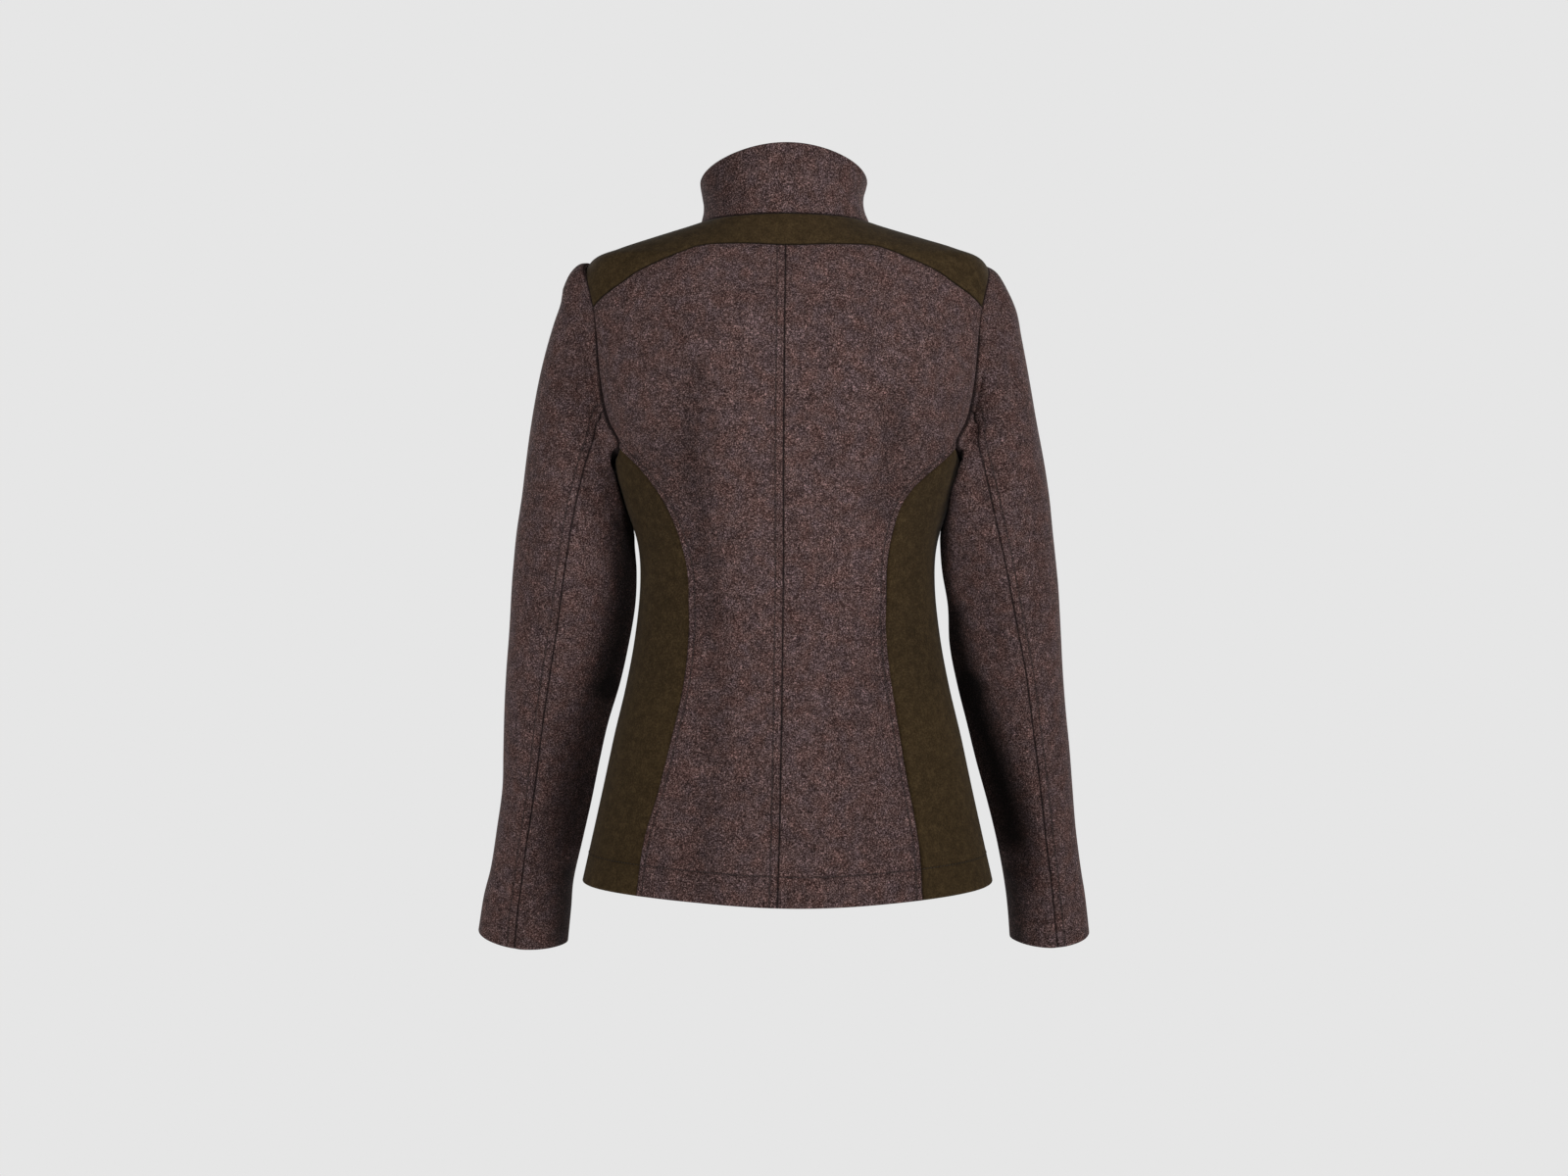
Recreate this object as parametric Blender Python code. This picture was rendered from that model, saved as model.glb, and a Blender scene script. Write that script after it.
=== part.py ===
"""A tyrolean loden jacket, worn form: a women's waisted jacket with a tall stand collar.

Run with: blender --background --python part.py

Metres, +Z up. The wearer faces -Y and their left side is +X. The origin is the centre of the neck
opening, level with the side neck points, where the jacket hangs on the wearer's shoulders.

The body is one smooth surface, read at (angle, level): the angle is 0 at the centre back and a
quarter turn at the wearer's left side, and the level climbs the rows of RINGS from the hem to the
neck seam. Every seam is a curve on that surface, and every panel is a grid between its seams.
"""
import math
from collections import namedtuple

import bmesh
import bpy
import numpy as np
from mathutils import Vector

# ---- cloth ------------------------------------------------------------------------------------
WALL = 0.003  # loden with its turned edges
COLLAR_WALL = 0.0045  # two layers of loden, stiffened
SEAM_GAP = 0.0003  # between two pieces that are sewn together
SLEEVE_DRAW_BACK = 0.0003  # a sleeve's edges bend most, so they stand back a little more
LAP_CLEAR = 0.0007  # between the two lapped fronts
SLEEVE_CLEAR = 0.002  # a sleeve hangs this clear of the body
SLEEVE_BESIDE = 0.010  # up to this far above the body's surface it still counts as beside it
LEAST_MITRE = 0.45  # cosine that caps how far a wall is lengthened where two pieces bend at a seam
LEAST_TURN = 0.5  # likewise, 1 plus a cosine, for a corner that is drawn back from a seam

# ---- the body: one row for each level, from the hem up to the neck seam ------------------------
# fullness: the power of its oval; shift: how far its middle is to the wearer's left;
# dip: how far round from the centre back, in radians, its back hangs lowest or stands highest;
# arch: the power of the cosine that carries its height from the back to the side.
Ring = namedtuple("Ring", "z_back z_side z_front half_width back front fullness shift dip arch",
                  defaults=[2.0])
RINGS = [
    Ring(-0.635, -0.6250, -0.640, 0.1940, 0.1270, 0.1300, 2.30, 0.0000, -0.10),  # hem
    Ring(-0.586, -0.5815, -0.589, 0.1842, 0.1235, 0.1260, 2.30, 0.0000, -0.10),
    Ring(-0.537, -0.5350, -0.539, 0.1739, 0.1190, 0.1210, 2.30, 0.0000, -0.09),
    Ring(-0.489, -0.4885, -0.490, 0.1640, 0.1125, 0.1150, 2.30, 0.0000, -0.08),
    Ring(-0.442, -0.4420, -0.442, 0.1530, 0.1045, 0.1085, 2.30, 0.0000, -0.07),
    Ring(-0.396, -0.3960, -0.396, 0.1445, 0.0965, 0.1030, 2.35, 0.0000, -0.05),
    Ring(-0.347, -0.3470, -0.347, 0.1395, 0.0905, 0.1010, 2.40, 0.0000, 0.00),  # waist
    Ring(-0.308, -0.3080, -0.308, 0.1415, 0.0955, 0.1080, 2.45, 0.0000, 0.00),
    Ring(-0.268, -0.2700, -0.270, 0.1535, 0.1055, 0.1170, 2.50, 0.0000, 0.00),
    Ring(-0.228, -0.2360, -0.235, 0.1635, 0.1150, 0.1220, 2.60, 0.0000, 0.00),  # armpit
    Ring(-0.188, -0.1860, -0.205, 0.1755, 0.1185, 0.1190, 2.65, 0.0000, 0.00),
    Ring(-0.145, -0.1300, -0.175, 0.1885, 0.1165, 0.1120, 2.50, 0.0000, 0.00),
    Ring(-0.100, -0.0720, -0.146, 0.1970, 0.1085, 0.1030, 2.35, 0.0000, 0.00),
    Ring(-0.062, -0.0425, -0.122, 0.1860, 0.0970, 0.0945, 2.50, 0.0000, 0.00),  # shoulder tip
    Ring(-0.049, -0.0312, -0.113, 0.1620, 0.0915, 0.0905, 2.50, 0.0000, 0.00),
    Ring(-0.036, -0.0216, -0.105, 0.1330, 0.0855, 0.0865, 2.40, 0.0005, -0.03),
    Ring(-0.016, -0.0100, -0.092, 0.0960, 0.0765, 0.0795, 2.15, 0.0010, -0.10),
    Ring(-0.005, -0.0050, -0.085, 0.0805, 0.0715, 0.0755, 2.05, 0.0020, -0.15),  # neck seam
]
HEM_LEVEL = 0.0
ARMPIT_LEVEL = 9.0
TIP_LEVEL = 13.0
NECK_LEVEL = 17.0

# The collar's rings above the neck seam, in the same columns.
COLLAR_RINGS = [
    Ring(0.010, 0.0050, -0.070, 0.0768, 0.0695, 0.0735, 2.05, 0.0030, -0.12, 1.8),
    Ring(0.027, 0.0150, -0.052, 0.0757, 0.0690, 0.0730, 2.10, 0.0038, -0.09, 1.6),
    Ring(0.044, 0.0255, -0.036, 0.0772, 0.0695, 0.0740, 2.15, 0.0040, -0.06, 1.5),
    Ring(0.060, 0.0350, -0.021, 0.0795, 0.0705, 0.0755, 2.20, 0.0035, -0.04, 1.4),  # rim
]
COLLAR_PARTING = 0.0006  # half the space between its two ends at the seam
COLLAR_SPREAD = 0.0060  # half the space between its two ends at the rim

# Soft relief on the body: a dome or a trough, by its middle, its reach and its height.
Relief = namedtuple("Relief", "side x z reach_x reach_z height")
RELIEFS = [
    Relief("front", 0.082, -0.262, 0.037, 0.052, 0.0110),  # bust, wearer's left
    Relief("front", -0.082, -0.262, 0.037, 0.052, 0.0110),
    Relief("back", 0.078, -0.135, 0.045, 0.050, 0.0035),  # shoulder blades
    Relief("back", -0.078, -0.135, 0.045, 0.050, 0.0035),
    Relief("back", 0.087, -0.222, 0.012, 0.034, -0.0030),  # hollows above the waist
    Relief("back", -0.093, -0.216, 0.012, 0.030, -0.0030),
    Relief("back", 0.004, -0.330, 0.018, 0.060, -0.0025),  # small of the back
]
RELIEF_FADE = 3.0  # how fast the relief fades out towards the sides

# ---- seams on the body: x from the centre, z, both in metres -----------------------------------
Spot = namedtuple("Spot", "x z")
CENTRE_BACK = [Spot(0.0022, -0.036), Spot(0.0031, -0.155), Spot(0.0042, -0.367), Spot(0.0057, -0.484),
               Spot(0.0077, -0.582), Spot(0.0094, -0.6349)]
# Back princess seams, from the armhole down to the hem.
PRINCESS_LEFT = [Spot(0.1340, -0.241), Spot(0.1110, -0.274), Spot(0.0965, -0.312), Spot(0.0905, -0.358),
                 Spot(0.0903, -0.394), Spot(0.0965, -0.447), Spot(0.1155, -0.527), Spot(0.1300, -0.577)]
PRINCESS_RIGHT = [Spot(0.1270, -0.246), Spot(0.1060, -0.270), Spot(0.0940, -0.306), Spot(0.0903, -0.349),
                  Spot(0.0903, -0.385), Spot(0.0945, -0.434), Spot(0.1050, -0.505), Spot(0.1180, -0.577)]
PRINCESS_HEM = {"left": 0.1370, "right": 0.1215}
FRONT_PRINCESS = [Spot(0.1320, -0.236), Spot(0.1120, -0.270), Spot(0.1000, -0.310), Spot(0.0950, -0.355),
                  Spot(0.0980, -0.420), Spot(0.1080, -0.510), Spot(0.1180, -0.580)]
FRONT_PRINCESS_HEM = 0.1260
YOKE_BACK = [Spot(0.1565, -0.0722), Spot(0.1375, -0.0600), Spot(0.1075, -0.0466), Spot(0.0930, -0.0405),
             Spot(0.0810, -0.0362), Spot(0.0640, -0.0345), Spot(0.0350, -0.0345)]
YOKE_NECK_ANGLE = math.radians(118)  # where the yoke's front seams meet the neck seam

# The armhole, from the shoulder tip down the back, under the arm and up the front.
Armhole = namedtuple("Armhole", "side x z cells")  # cells: the steps to the next row
ARMHOLE = [
    Armhole("tip", 0.1860, -0.0405, 3),
    Armhole("back", 0.1805, -0.0900, 5),  # 1: yoke seam at the back
    Armhole("back", 0.1690, -0.1840, 2),  # 2: hindarm seam
    Armhole("back", 0.1555, -0.2190, 3),  # 3: back princess seam
    Armhole("armpit", 0.1635, -0.2360, 3),
    Armhole("front", 0.1530, -0.2150, 2),  # 5: front princess seam
    Armhole("front", 0.1560, -0.1800, 5),  # 6: forearm seam
    Armhole("front", 0.1720, -0.0860, 3),  # 7: yoke seam at the front
]
YOKE_AT_BACK, HINDARM, BACK_TIP, FRONT_TIP, FOREARM, YOKE_AT_FRONT = 1, 2, 3, 5, 6, 7

# ---- the fronts --------------------------------------------------------------------------------
LAP = 0.025  # each front runs this far past the centre front
BUTTONS = 6
BUTTON_TOP_Z = -0.112
BUTTON_PITCH = 0.066
BUTTON_RADIUS = 0.011
BUTTON_THICKNESS = 0.0035
BUTTON_SIDES = 24
SEAT_STEPS = 9  # the cloth under a button is felt in this many steps each way
Turn = namedtuple("Turn", "radius height")  # a button's profile, in shares of its radius and thickness
BUTTON_PROFILE = [Turn(0, 0), Turn(0.86, 0), Turn(1, 0.4), Turn(0.96, 0.85), Turn(0.9, 1), Turn(0.74, 0.72),
                  Turn(0, 0.62)]

# ---- the sleeves: outer and inner contour, where its middle lies in y, half its depth in y, ------
# and, in degrees round it from its outer side, where the hindarm seam lies.
SleeveRow = namedtuple("SleeveRow", "outer_x outer_z inner_x inner_z y half_depth hindarm")
SLEEVE_LEFT = [
    SleeveRow(0.1990, -0.0520, 0.1640, -0.2375, -0.008, 0.062, 118),
    SleeveRow(0.2140, -0.0821, 0.1650, -0.2405, -0.007, 0.063, 114),
    SleeveRow(0.2245, -0.1118, 0.1600, -0.2450, -0.006, 0.063, 109),
    SleeveRow(0.2343, -0.1490, 0.1540, -0.2500, -0.004, 0.062, 104),
    SleeveRow(0.2418, -0.1880, 0.1500, -0.2580, -0.002, 0.061, 100),
    SleeveRow(0.2476, -0.2280, 0.1470, -0.2700, 0.000, 0.060, 97),
    SleeveRow(0.2515, -0.2625, 0.1455, -0.2870, 0.002, 0.058, 93),
    SleeveRow(0.2562, -0.2960, 0.1450, -0.3080, 0.004, 0.056, 90),
    SleeveRow(0.2590, -0.3258, 0.1430, -0.3340, 0.005, 0.055, 86),
    SleeveRow(0.2609, -0.3500, 0.1443, -0.3666, 0.005, 0.054, 83),
    SleeveRow(0.2637, -0.3890, 0.1507, -0.4030, 0.000, 0.053, 81),
    SleeveRow(0.2672, -0.4255, 0.1595, -0.4404, -0.006, 0.051, 80),
    SleeveRow(0.2700, -0.4632, 0.1713, -0.4781, -0.013, 0.049, 80),
    SleeveRow(0.2720, -0.5021, 0.1802, -0.5153, -0.021, 0.047, 79),
    SleeveRow(0.2740, -0.5404, 0.1885, -0.5536, -0.029, 0.045, 77),
    SleeveRow(0.2802, -0.5790, 0.1978, -0.5923, -0.037, 0.043, 78),
    SleeveRow(0.2872, -0.6180, 0.2073, -0.6314, -0.046, 0.042, 81),
    SleeveRow(0.2951, -0.6474, 0.2104, -0.6608, -0.052, 0.041, 83),
    SleeveRow(0.3012, -0.6818, 0.2142, -0.6942, -0.058, 0.041, 85),
]
SLEEVE_RIGHT = [
    SleeveRow(0.1990, -0.0520, 0.1640, -0.2375, -0.008, 0.062, 118),
    SleeveRow(0.2140, -0.0821, 0.1650, -0.2405, -0.007, 0.063, 116),
    SleeveRow(0.2208, -0.1118, 0.1600, -0.2450, -0.006, 0.063, 113),
    SleeveRow(0.2282, -0.1490, 0.1540, -0.2500, -0.004, 0.062, 107),
    SleeveRow(0.2352, -0.1880, 0.1500, -0.2580, -0.002, 0.061, 103),
    SleeveRow(0.2427, -0.2280, 0.1470, -0.2700, 0.000, 0.060, 101),
    SleeveRow(0.2478, -0.2625, 0.1455, -0.2870, 0.002, 0.058, 98),
    SleeveRow(0.2509, -0.2960, 0.1450, -0.3080, 0.004, 0.056, 93),
    SleeveRow(0.2539, -0.3258, 0.1468, -0.3340, 0.005, 0.055, 89),
    SleeveRow(0.2562, -0.3500, 0.1520, -0.3666, 0.005, 0.053, 86),
    SleeveRow(0.2590, -0.3890, 0.1539, -0.4030, 0.000, 0.052, 79),
    SleeveRow(0.2616, -0.4255, 0.1614, -0.4404, -0.006, 0.050, 76),
    SleeveRow(0.2653, -0.4632, 0.1713, -0.4781, -0.013, 0.048, 76),
    SleeveRow(0.2701, -0.5021, 0.1810, -0.5153, -0.021, 0.046, 77),
    SleeveRow(0.2740, -0.5404, 0.1921, -0.5536, -0.029, 0.044, 79),
    SleeveRow(0.2781, -0.5790, 0.2021, -0.5923, -0.037, 0.042, 81),
    SleeveRow(0.2841, -0.6180, 0.2101, -0.6314, -0.046, 0.041, 83),
    SleeveRow(0.2894, -0.6474, 0.2143, -0.6608, -0.052, 0.040, 85),
    SleeveRow(0.2942, -0.6838, 0.2170, -0.6898, -0.058, 0.040, 85),
]
FOREARM_DEGREES = -118  # and where the forearm seam lies
SLEEVE_HEAD_ROWS = 6  # over these rows the armhole's shape eases into the sleeve's
SLEEVE_TURN_ROWS = 7  # over these the columns even out
SLEEVE_CLEAR_ROWS = 2  # and over these it comes to stand clear of the body
SLEEVE_LEAN_ROWS = 4  # after the head, over these its rows tip forward with the arm
SLEEVE_SQUARE = 3.0  # how square the inner half is where it lies against the body
SLEEVE_PRESSED_ROW = 6  # the row where it is squarest
SLEEVE_PRESSED_REACH = 5  # and how many rows from there it is an oval again

# ---- how finely the panels are stepped ---------------------------------------------------------
BACK_COLUMNS = 8
FRONT_COLUMNS = 7
PANEL_ROWS = 14  # from the hem to the armhole
CENTRE_ROWS = 21  # from the hem to the yoke, up the centre back
FRONT_EDGE_ROWS = 17  # from the hem to the neck, up the front edge
FRONT_EASING = 8  # rounds that even out a front's grid between its edges
NECK_FRONT_CELLS = 4  # along the neck, from the lap to the yoke
NECK_TIP_CELLS = 3  # along the neck, from the yoke's front seam to above the shoulder tip
NECK_BACK_CELLS = 3  # and on to above the yoke's back corner
NECK_TIP_ANGLE = math.radians(95)
NECK_BACK_ANGLE = math.radians(70)
DIRECTION_STEP = 0.01  # of angle or level, to either side, for the surface's directions
SAME_SPOT = 1e-6  # steps of two seams this close are one and the same
CURVE_STEPS = 16  # a seam's length is measured in this many steps a knot
HALVINGS = 40  # rounds of halving that solve a height for its level

TWEED = ("tweed_loden", (0.096, 0.063, 0.058, 1.0), 0.95)
OLIVE = ("olive_loden", (0.036, 0.026, 0.015, 1.0), 0.92)
HORN = ("horn", (0.080, 0.045, 0.025, 1.0), 0.40)
SHARP_ANGLE = math.radians(50)
SIDES = {"left": 1, "right": -1}


# ---- the body surface --------------------------------------------------------------------------
def smooth(rows, level):
    """A Catmull-Rom curve through the rows of a table, one unit of level a row."""
    rows = np.asarray(rows, float)
    rows = np.concatenate([[2 * rows[0] - rows[1]], rows, [2 * rows[-1] - rows[-2]]])
    level = np.asarray(level, float)
    i = np.clip(level.astype(int), 0, len(rows) - 4)
    f = (level - i)[..., None]
    before, a, b, after = (rows[i + k] for k in range(4))
    return a + 0.5 * f * (b - before + f * (2 * before - 5 * a + 4 * b - after
                                            + f * (3 * (a - b) + after - before)))


def section(rows, angle):
    """The points of rings at their angles."""
    ring = Ring(*np.moveaxis(np.asarray(rows, float), -1, 0))
    s, c = np.sin(angle), np.cos(angle)
    depth = np.where(c > 0, ring.back, ring.front)
    toward = np.cos(angle - ring.dip)
    z_end = np.where(toward > 0, ring.z_back, ring.z_front)
    n = ring.fullness
    reach = (abs(s / ring.half_width) ** n + abs(c / depth) ** n) ** (-1 / n)
    rise = abs(toward) ** ring.arch
    return np.stack([ring.shift + reach * s, reach * c, ring.z_side + (z_end - ring.z_side) * rise], axis=-1)


def relief(points):
    """How far the soft relief lifts points of the body."""
    x, y, z = np.moveaxis(points, -1, 0)
    lift = np.zeros(x.shape)
    for r in RELIEFS:
        facing = y > 0 if r.side == "back" else y <= 0
        lift += facing * r.height * np.exp(-((x - r.x) / r.reach_x) ** 2 - ((z - r.z) / r.reach_z) ** 2)
    return lift


def body(spots):
    """The body's outer surface at spots of (angle, level)."""
    angle, level = np.moveaxis(np.asarray(spots, float), -1, 0)
    points = section(smooth(RINGS, level), angle)
    out = np.stack([np.sin(angle), np.cos(angle), np.zeros(angle.shape)], axis=-1)
    fade = np.minimum(1.0, abs(np.cos(angle)) * RELIEF_FADE)
    return points + out * (relief(points) * fade)[..., None]


def unit(vectors):
    return vectors / np.linalg.norm(vectors, axis=-1, keepdims=True)


def body_normal(spots):
    """The outward normals of the body's surface."""
    spots = np.asarray(spots, float)
    aside, above = np.array([DIRECTION_STEP, 0]), np.array([0, DIRECTION_STEP])
    low_end, high_end = (-np.inf, HEM_LEVEL), (np.inf, NECK_LEVEL)
    round_it = body(spots + aside) - body(spots - aside)
    up_it = body(np.minimum(spots + above, high_end)) - body(np.maximum(spots - above, low_end))
    return unit(np.cross(up_it, round_it))


def angle_at(row, where, x):
    """The angle at which a ring is x from its middle, at the back or the front."""
    ring = Ring(*row)
    depth = ring.back if where == "back" else -ring.front
    share = min(abs(x - ring.shift) / ring.half_width, 1.0)
    y = depth * (1 - share ** ring.fullness) ** (1 / ring.fullness)
    return math.atan2(x - ring.shift, y)


def on_body(where, x, z):
    """The (angle, level) of the body's point at x and z, at the back or the front."""
    low, high = HEM_LEVEL, NECK_LEVEL
    for _ in range(HALVINGS):
        level = (low + high) / 2
        row = smooth(RINGS, level)
        if section(row, angle_at(row, where, x))[2] < z:
            low = level
        else:
            high = level
    return np.array([angle_at(smooth(RINGS, low), where, x), low])


def seam_knots(table, where, sign=1):
    """A seam's table as knots of (angle, level), on one half."""
    return [on_body(where, spot.x, spot.z) * (sign, 1) for spot in table]


def along(knots, cells):
    """Even steps, by length on the body, along a smooth curve through knots of (angle, level)."""
    fine = smooth(knots, np.linspace(0, len(knots) - 1, CURVE_STEPS * len(knots)))
    length = np.concatenate([[0], np.cumsum(np.linalg.norm(np.diff(body(fine), axis=0), axis=1))])
    wanted = np.linspace(0, length[-1], cells + 1)
    return np.stack([np.interp(wanted, length, fine[:, k]) for k in (0, 1)], axis=1)


def patch(left, right, bottom, top, easing=0):
    """A grid of (angle, level) between four edges that share their corners: rows go up."""
    v = np.linspace(0, 1, len(left))[:, None, None]
    u = np.linspace(0, 1, len(bottom))[None, :, None]
    corners = ((1 - u) * (1 - v) * bottom[0] + u * (1 - v) * bottom[-1]
               + (1 - u) * v * top[0] + u * v * top[-1])
    grid = ((1 - u) * left[:, None] + u * right[:, None] + (1 - v) * bottom[None] + v * top[None]
            - corners)
    for _ in range(easing):
        grid[1:-1, 1:-1] = (grid[:-2, 1:-1] + grid[2:, 1:-1] + grid[1:-1, :-2] + grid[1:-1, 2:]) / 4
    return grid


# ---- solids ------------------------------------------------------------------------------------
def material(look):
    name, colour, roughness = look
    made = bpy.data.materials.get(name) or bpy.data.materials.new(name)
    made.use_nodes = True
    shader = made.node_tree.nodes["Principled BSDF"]
    shader.inputs["Base Color"].default_value = colour
    shader.inputs["Roughness"].default_value = roughness
    shader.inputs["Metallic"].default_value = 0.0
    return made


def add_object(name, shape, look):
    """A scene object from a bmesh, facing out."""
    bmesh.ops.recalc_face_normals(shape, faces=shape.faces)
    if shape.calc_volume(signed=True) < 0:
        bmesh.ops.reverse_faces(shape, faces=shape.faces)
    mesh = bpy.data.meshes.new(name)
    shape.to_mesh(mesh)
    shape.free()
    mesh.materials.append(material(look))
    mesh.shade_smooth()
    mesh.set_sharp_from_angle(angle=SHARP_ANGLE)
    made = bpy.data.objects.new(name, mesh)
    bpy.context.scene.collection.objects.link(made)
    return made


def weld(grids):
    """One list of outer points, wall vectors and four-sided faces from grids that share edges."""
    spots, outer, wall, quads = {}, [], [], []
    for points, vectors in grids:
        index = np.zeros(points.shape[:2], int)
        for i, j in np.ndindex(index.shape):
            key = tuple(np.round(points[i, j] / SAME_SPOT / 10).astype(int))
            if key not in spots:
                spots[key] = len(outer)
                outer.append(points[i, j])
                wall.append(vectors[i, j])
            index[i, j] = spots[key]
        around = (index[:-1, :-1], index[:-1, 1:], index[1:, 1:], index[1:, :-1])
        quads += [tuple(quad) for quad in np.stack(around, axis=-1).reshape(-1, 4).tolist()]
    return np.array(outer), np.array(wall), quads


def rim_of(quads):
    """The edges that only one face has, each with that face."""
    directed = {(quad[k], quad[(k + 1) % 4]): quad for quad in quads for k in range(4)}
    return {edge: quad for edge, quad in directed.items() if edge[::-1] not in directed}


def draw_back_rim(outer, wall, rim, gap):
    """Move the rim's points into their own piece, square to each edge by this gap."""
    inward = {}
    for (a, b), quad in rim.items():
        across = unit(np.cross(outer[b] - outer[a], wall[a] + wall[b]))
        middle = outer[list(quad)].mean(axis=0)
        if np.dot(across, middle - (outer[a] + outer[b]) / 2) < 0:
            across = -across
        inward.setdefault(a, []).append(across)
        inward.setdefault(b, []).append(across)
    for vertex, pair in inward.items():
        outer[vertex] += gap * (pair[0] + pair[-1]) / max(1 + np.dot(pair[0], pair[-1]), LEAST_TURN)


def triangles_of(quad, points):
    """A four-sided face split across its shorter diagonal."""
    a, b, c, d = quad
    if np.linalg.norm(points[a] - points[c]) < np.linalg.norm(points[b] - points[d]):
        return (a, b, c), (a, c, d)
    return (a, b, d), (b, c, d)


def shell(name, grids, look, draw_back=SEAM_GAP / 2):
    """One closed wall made from grids of outer points and the wall vectors at them."""
    outer, wall, quads = weld(grids)
    rim = rim_of(quads)
    draw_back_rim(outer, wall, rim, draw_back)
    shape = bmesh.new()
    verts = [shape.verts.new(p) for p in np.concatenate([outer, outer + wall])]
    count = len(outer)
    for quad in quads:
        for corners in triangles_of(quad, outer):
            shape.faces.new([verts[k] for k in corners])
            shape.faces.new([verts[k + count] for k in reversed(corners)])
    for a, b in rim:
        # The two pieces at a seam split their edge faces alike, from the higher outer corner.
        if outer[a][2] > outer[b][2]:
            halves = ((b, a, b + count), (a, a + count, b + count))
        else:
            halves = ((b, a, a + count), (b, a + count, b + count))
        for corners in halves:
            shape.faces.new([verts[k] for k in corners])
    return add_object(name, shape, look)


def mitre(normals, others):
    """The wall vectors where two pieces with these normals meet."""
    both = unit(normals + others)
    return -both * WALL / np.maximum(np.sum(both * normals, axis=-1, keepdims=True), LEAST_MITRE)


# ---- seams -------------------------------------------------------------------------------------
def neck_walls(angles):
    """The wall vectors on the neck seam, between the body and the collar."""
    neck_row, first_row = smooth(RINGS, NECK_LEVEL), COLLAR_RINGS[0]
    round_it = section(neck_row, angles + DIRECTION_STEP) - section(neck_row, angles - DIRECTION_STEP)
    up_it = section(first_row, angles) - section(neck_row, angles)
    spots = np.stack([angles, np.full(angles.shape, NECK_LEVEL)], axis=-1)
    return mitre(body_normal(spots), unit(np.cross(up_it, round_it)))


def armhole_steps(sign):
    """The armhole's steps, from the shoulder tip round by the back, and each knot's place in them."""
    ends = {"tip": (math.pi / 2, TIP_LEVEL), "armpit": (math.pi / 2, ARMPIT_LEVEL)}
    knots = [np.array(ends[row.side]) if row.side in ends else on_body(row.side, row.x, row.z)
             for row in ARMHOLE]
    count = len(knots)
    ring = [knots[k % count] * (sign, 1) for k in range(-2, count + 3)]
    places = np.cumsum([0] + [row.cells for row in ARMHOLE])
    levels = [k + 2 + step / row.cells for k, row in enumerate(ARMHOLE) for step in range(row.cells)]
    return smooth(ring, np.array(levels)), places


def stretch(places, start, end):
    """The numbers of the armhole's steps from one knot to another, in its own direction."""
    count = places[-1]
    first, last = places[start], places[end]
    return [k % count for k in range(first, last + 1 if last > first else last + count + 1)]


def front_line(offset):
    """A line up the front, from the hem to the neck seam, this far from the centre front."""
    levels = np.linspace(HEM_LEVEL, NECK_LEVEL, FRONT_EDGE_ROWS + 1)
    rows = smooth(RINGS, levels)
    angles = [angle_at(row, "front", Ring(*row).shift + offset) for row in rows]
    return np.stack([angles, levels], axis=1)


def lap_strip(sign):
    """The grid of a front's lap, from past the centre front to its own side of it."""
    strip = np.stack([front_line(-sign * LAP), front_line(0.0), front_line(sign * LAP)], axis=1)
    strip[:, :, 0] += np.where(strip[:, :, 0] * sign < 0, 2 * math.pi * sign, 0)
    return strip


def neck_steps(lap_angle, yoke_back):
    """The angles of the neck seam's steps on one half, from the centre front to the centre back.

    Those at the back stand half way between even steps and the steps of the yoke's seam below."""
    below = abs(yoke_back[::-1, 0])
    below = NECK_BACK_ANGLE * (below - below[-1]) / (below[0] - below[-1])
    return np.concatenate([
        [math.pi],
        np.linspace(lap_angle, YOKE_NECK_ANGLE, NECK_FRONT_CELLS + 1),
        np.linspace(YOKE_NECK_ANGLE, NECK_TIP_ANGLE, NECK_TIP_CELLS + 1)[1:],
        np.linspace(NECK_TIP_ANGLE, NECK_BACK_ANGLE, NECK_BACK_CELLS + 1)[1:],
        ((below + np.linspace(NECK_BACK_ANGLE, 0, BACK_COLUMNS + 1)) / 2)[1:],
    ])


# ---- sleeves -----------------------------------------------------------------------------------
def eased(share):
    """0 to 1 with a soft start and end."""
    share = min(max(share, 0.0), 1.0)
    return share * share * (3 - 2 * share)


def sleeve_oval(table, k, turns, sign):
    """Points of one sleeve row at these angles round it, from its outer side."""
    row = table[k]
    before, after = table[max(k - 1, 0)], table[min(k + 1, len(table) - 1)]
    drop = (before.outer_z + before.inner_z - after.outer_z - after.inner_z) / 2
    lean = min(1.0, max(0, k - SLEEVE_HEAD_ROWS) / SLEEVE_LEAN_ROWS) * (before.y - after.y) / drop
    square = 2 + (SLEEVE_SQUARE - 2) * max(0.0, 1 - abs(k - SLEEVE_PRESSED_ROW) / SLEEVE_PRESSED_REACH)
    c, s = np.cos(turns), np.sin(turns)
    reach = np.where(c < 0, (abs(c) ** square + abs(s) ** square) ** (-1 / square), 1.0)
    c, s = c * reach, s * reach
    x = (row.outer_x + row.inner_x) / 2 + c * (row.outer_x - row.inner_x) / 2
    z = (row.outer_z + row.inner_z) / 2 + c * (row.outer_z - row.inner_z) / 2
    return np.stack([sign * x, row.y + s * row.half_depth, z - lean * s * row.half_depth], axis=-1)


def even_turns(places, hindarm):
    """The angle round the sleeve of each column, with both seams in their places."""
    count, hind, fore = places[-1], places[HINDARM], places[FOREARM]
    forearm = math.radians(FOREARM_DEGREES)
    hindarm = math.radians(hindarm)
    knots = [fore - count, hind, fore, hind + count]
    angles = [forearm, hindarm, forearm + 2 * math.pi, hindarm + 2 * math.pi]
    return np.interp(np.arange(count), knots, angles)


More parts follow.
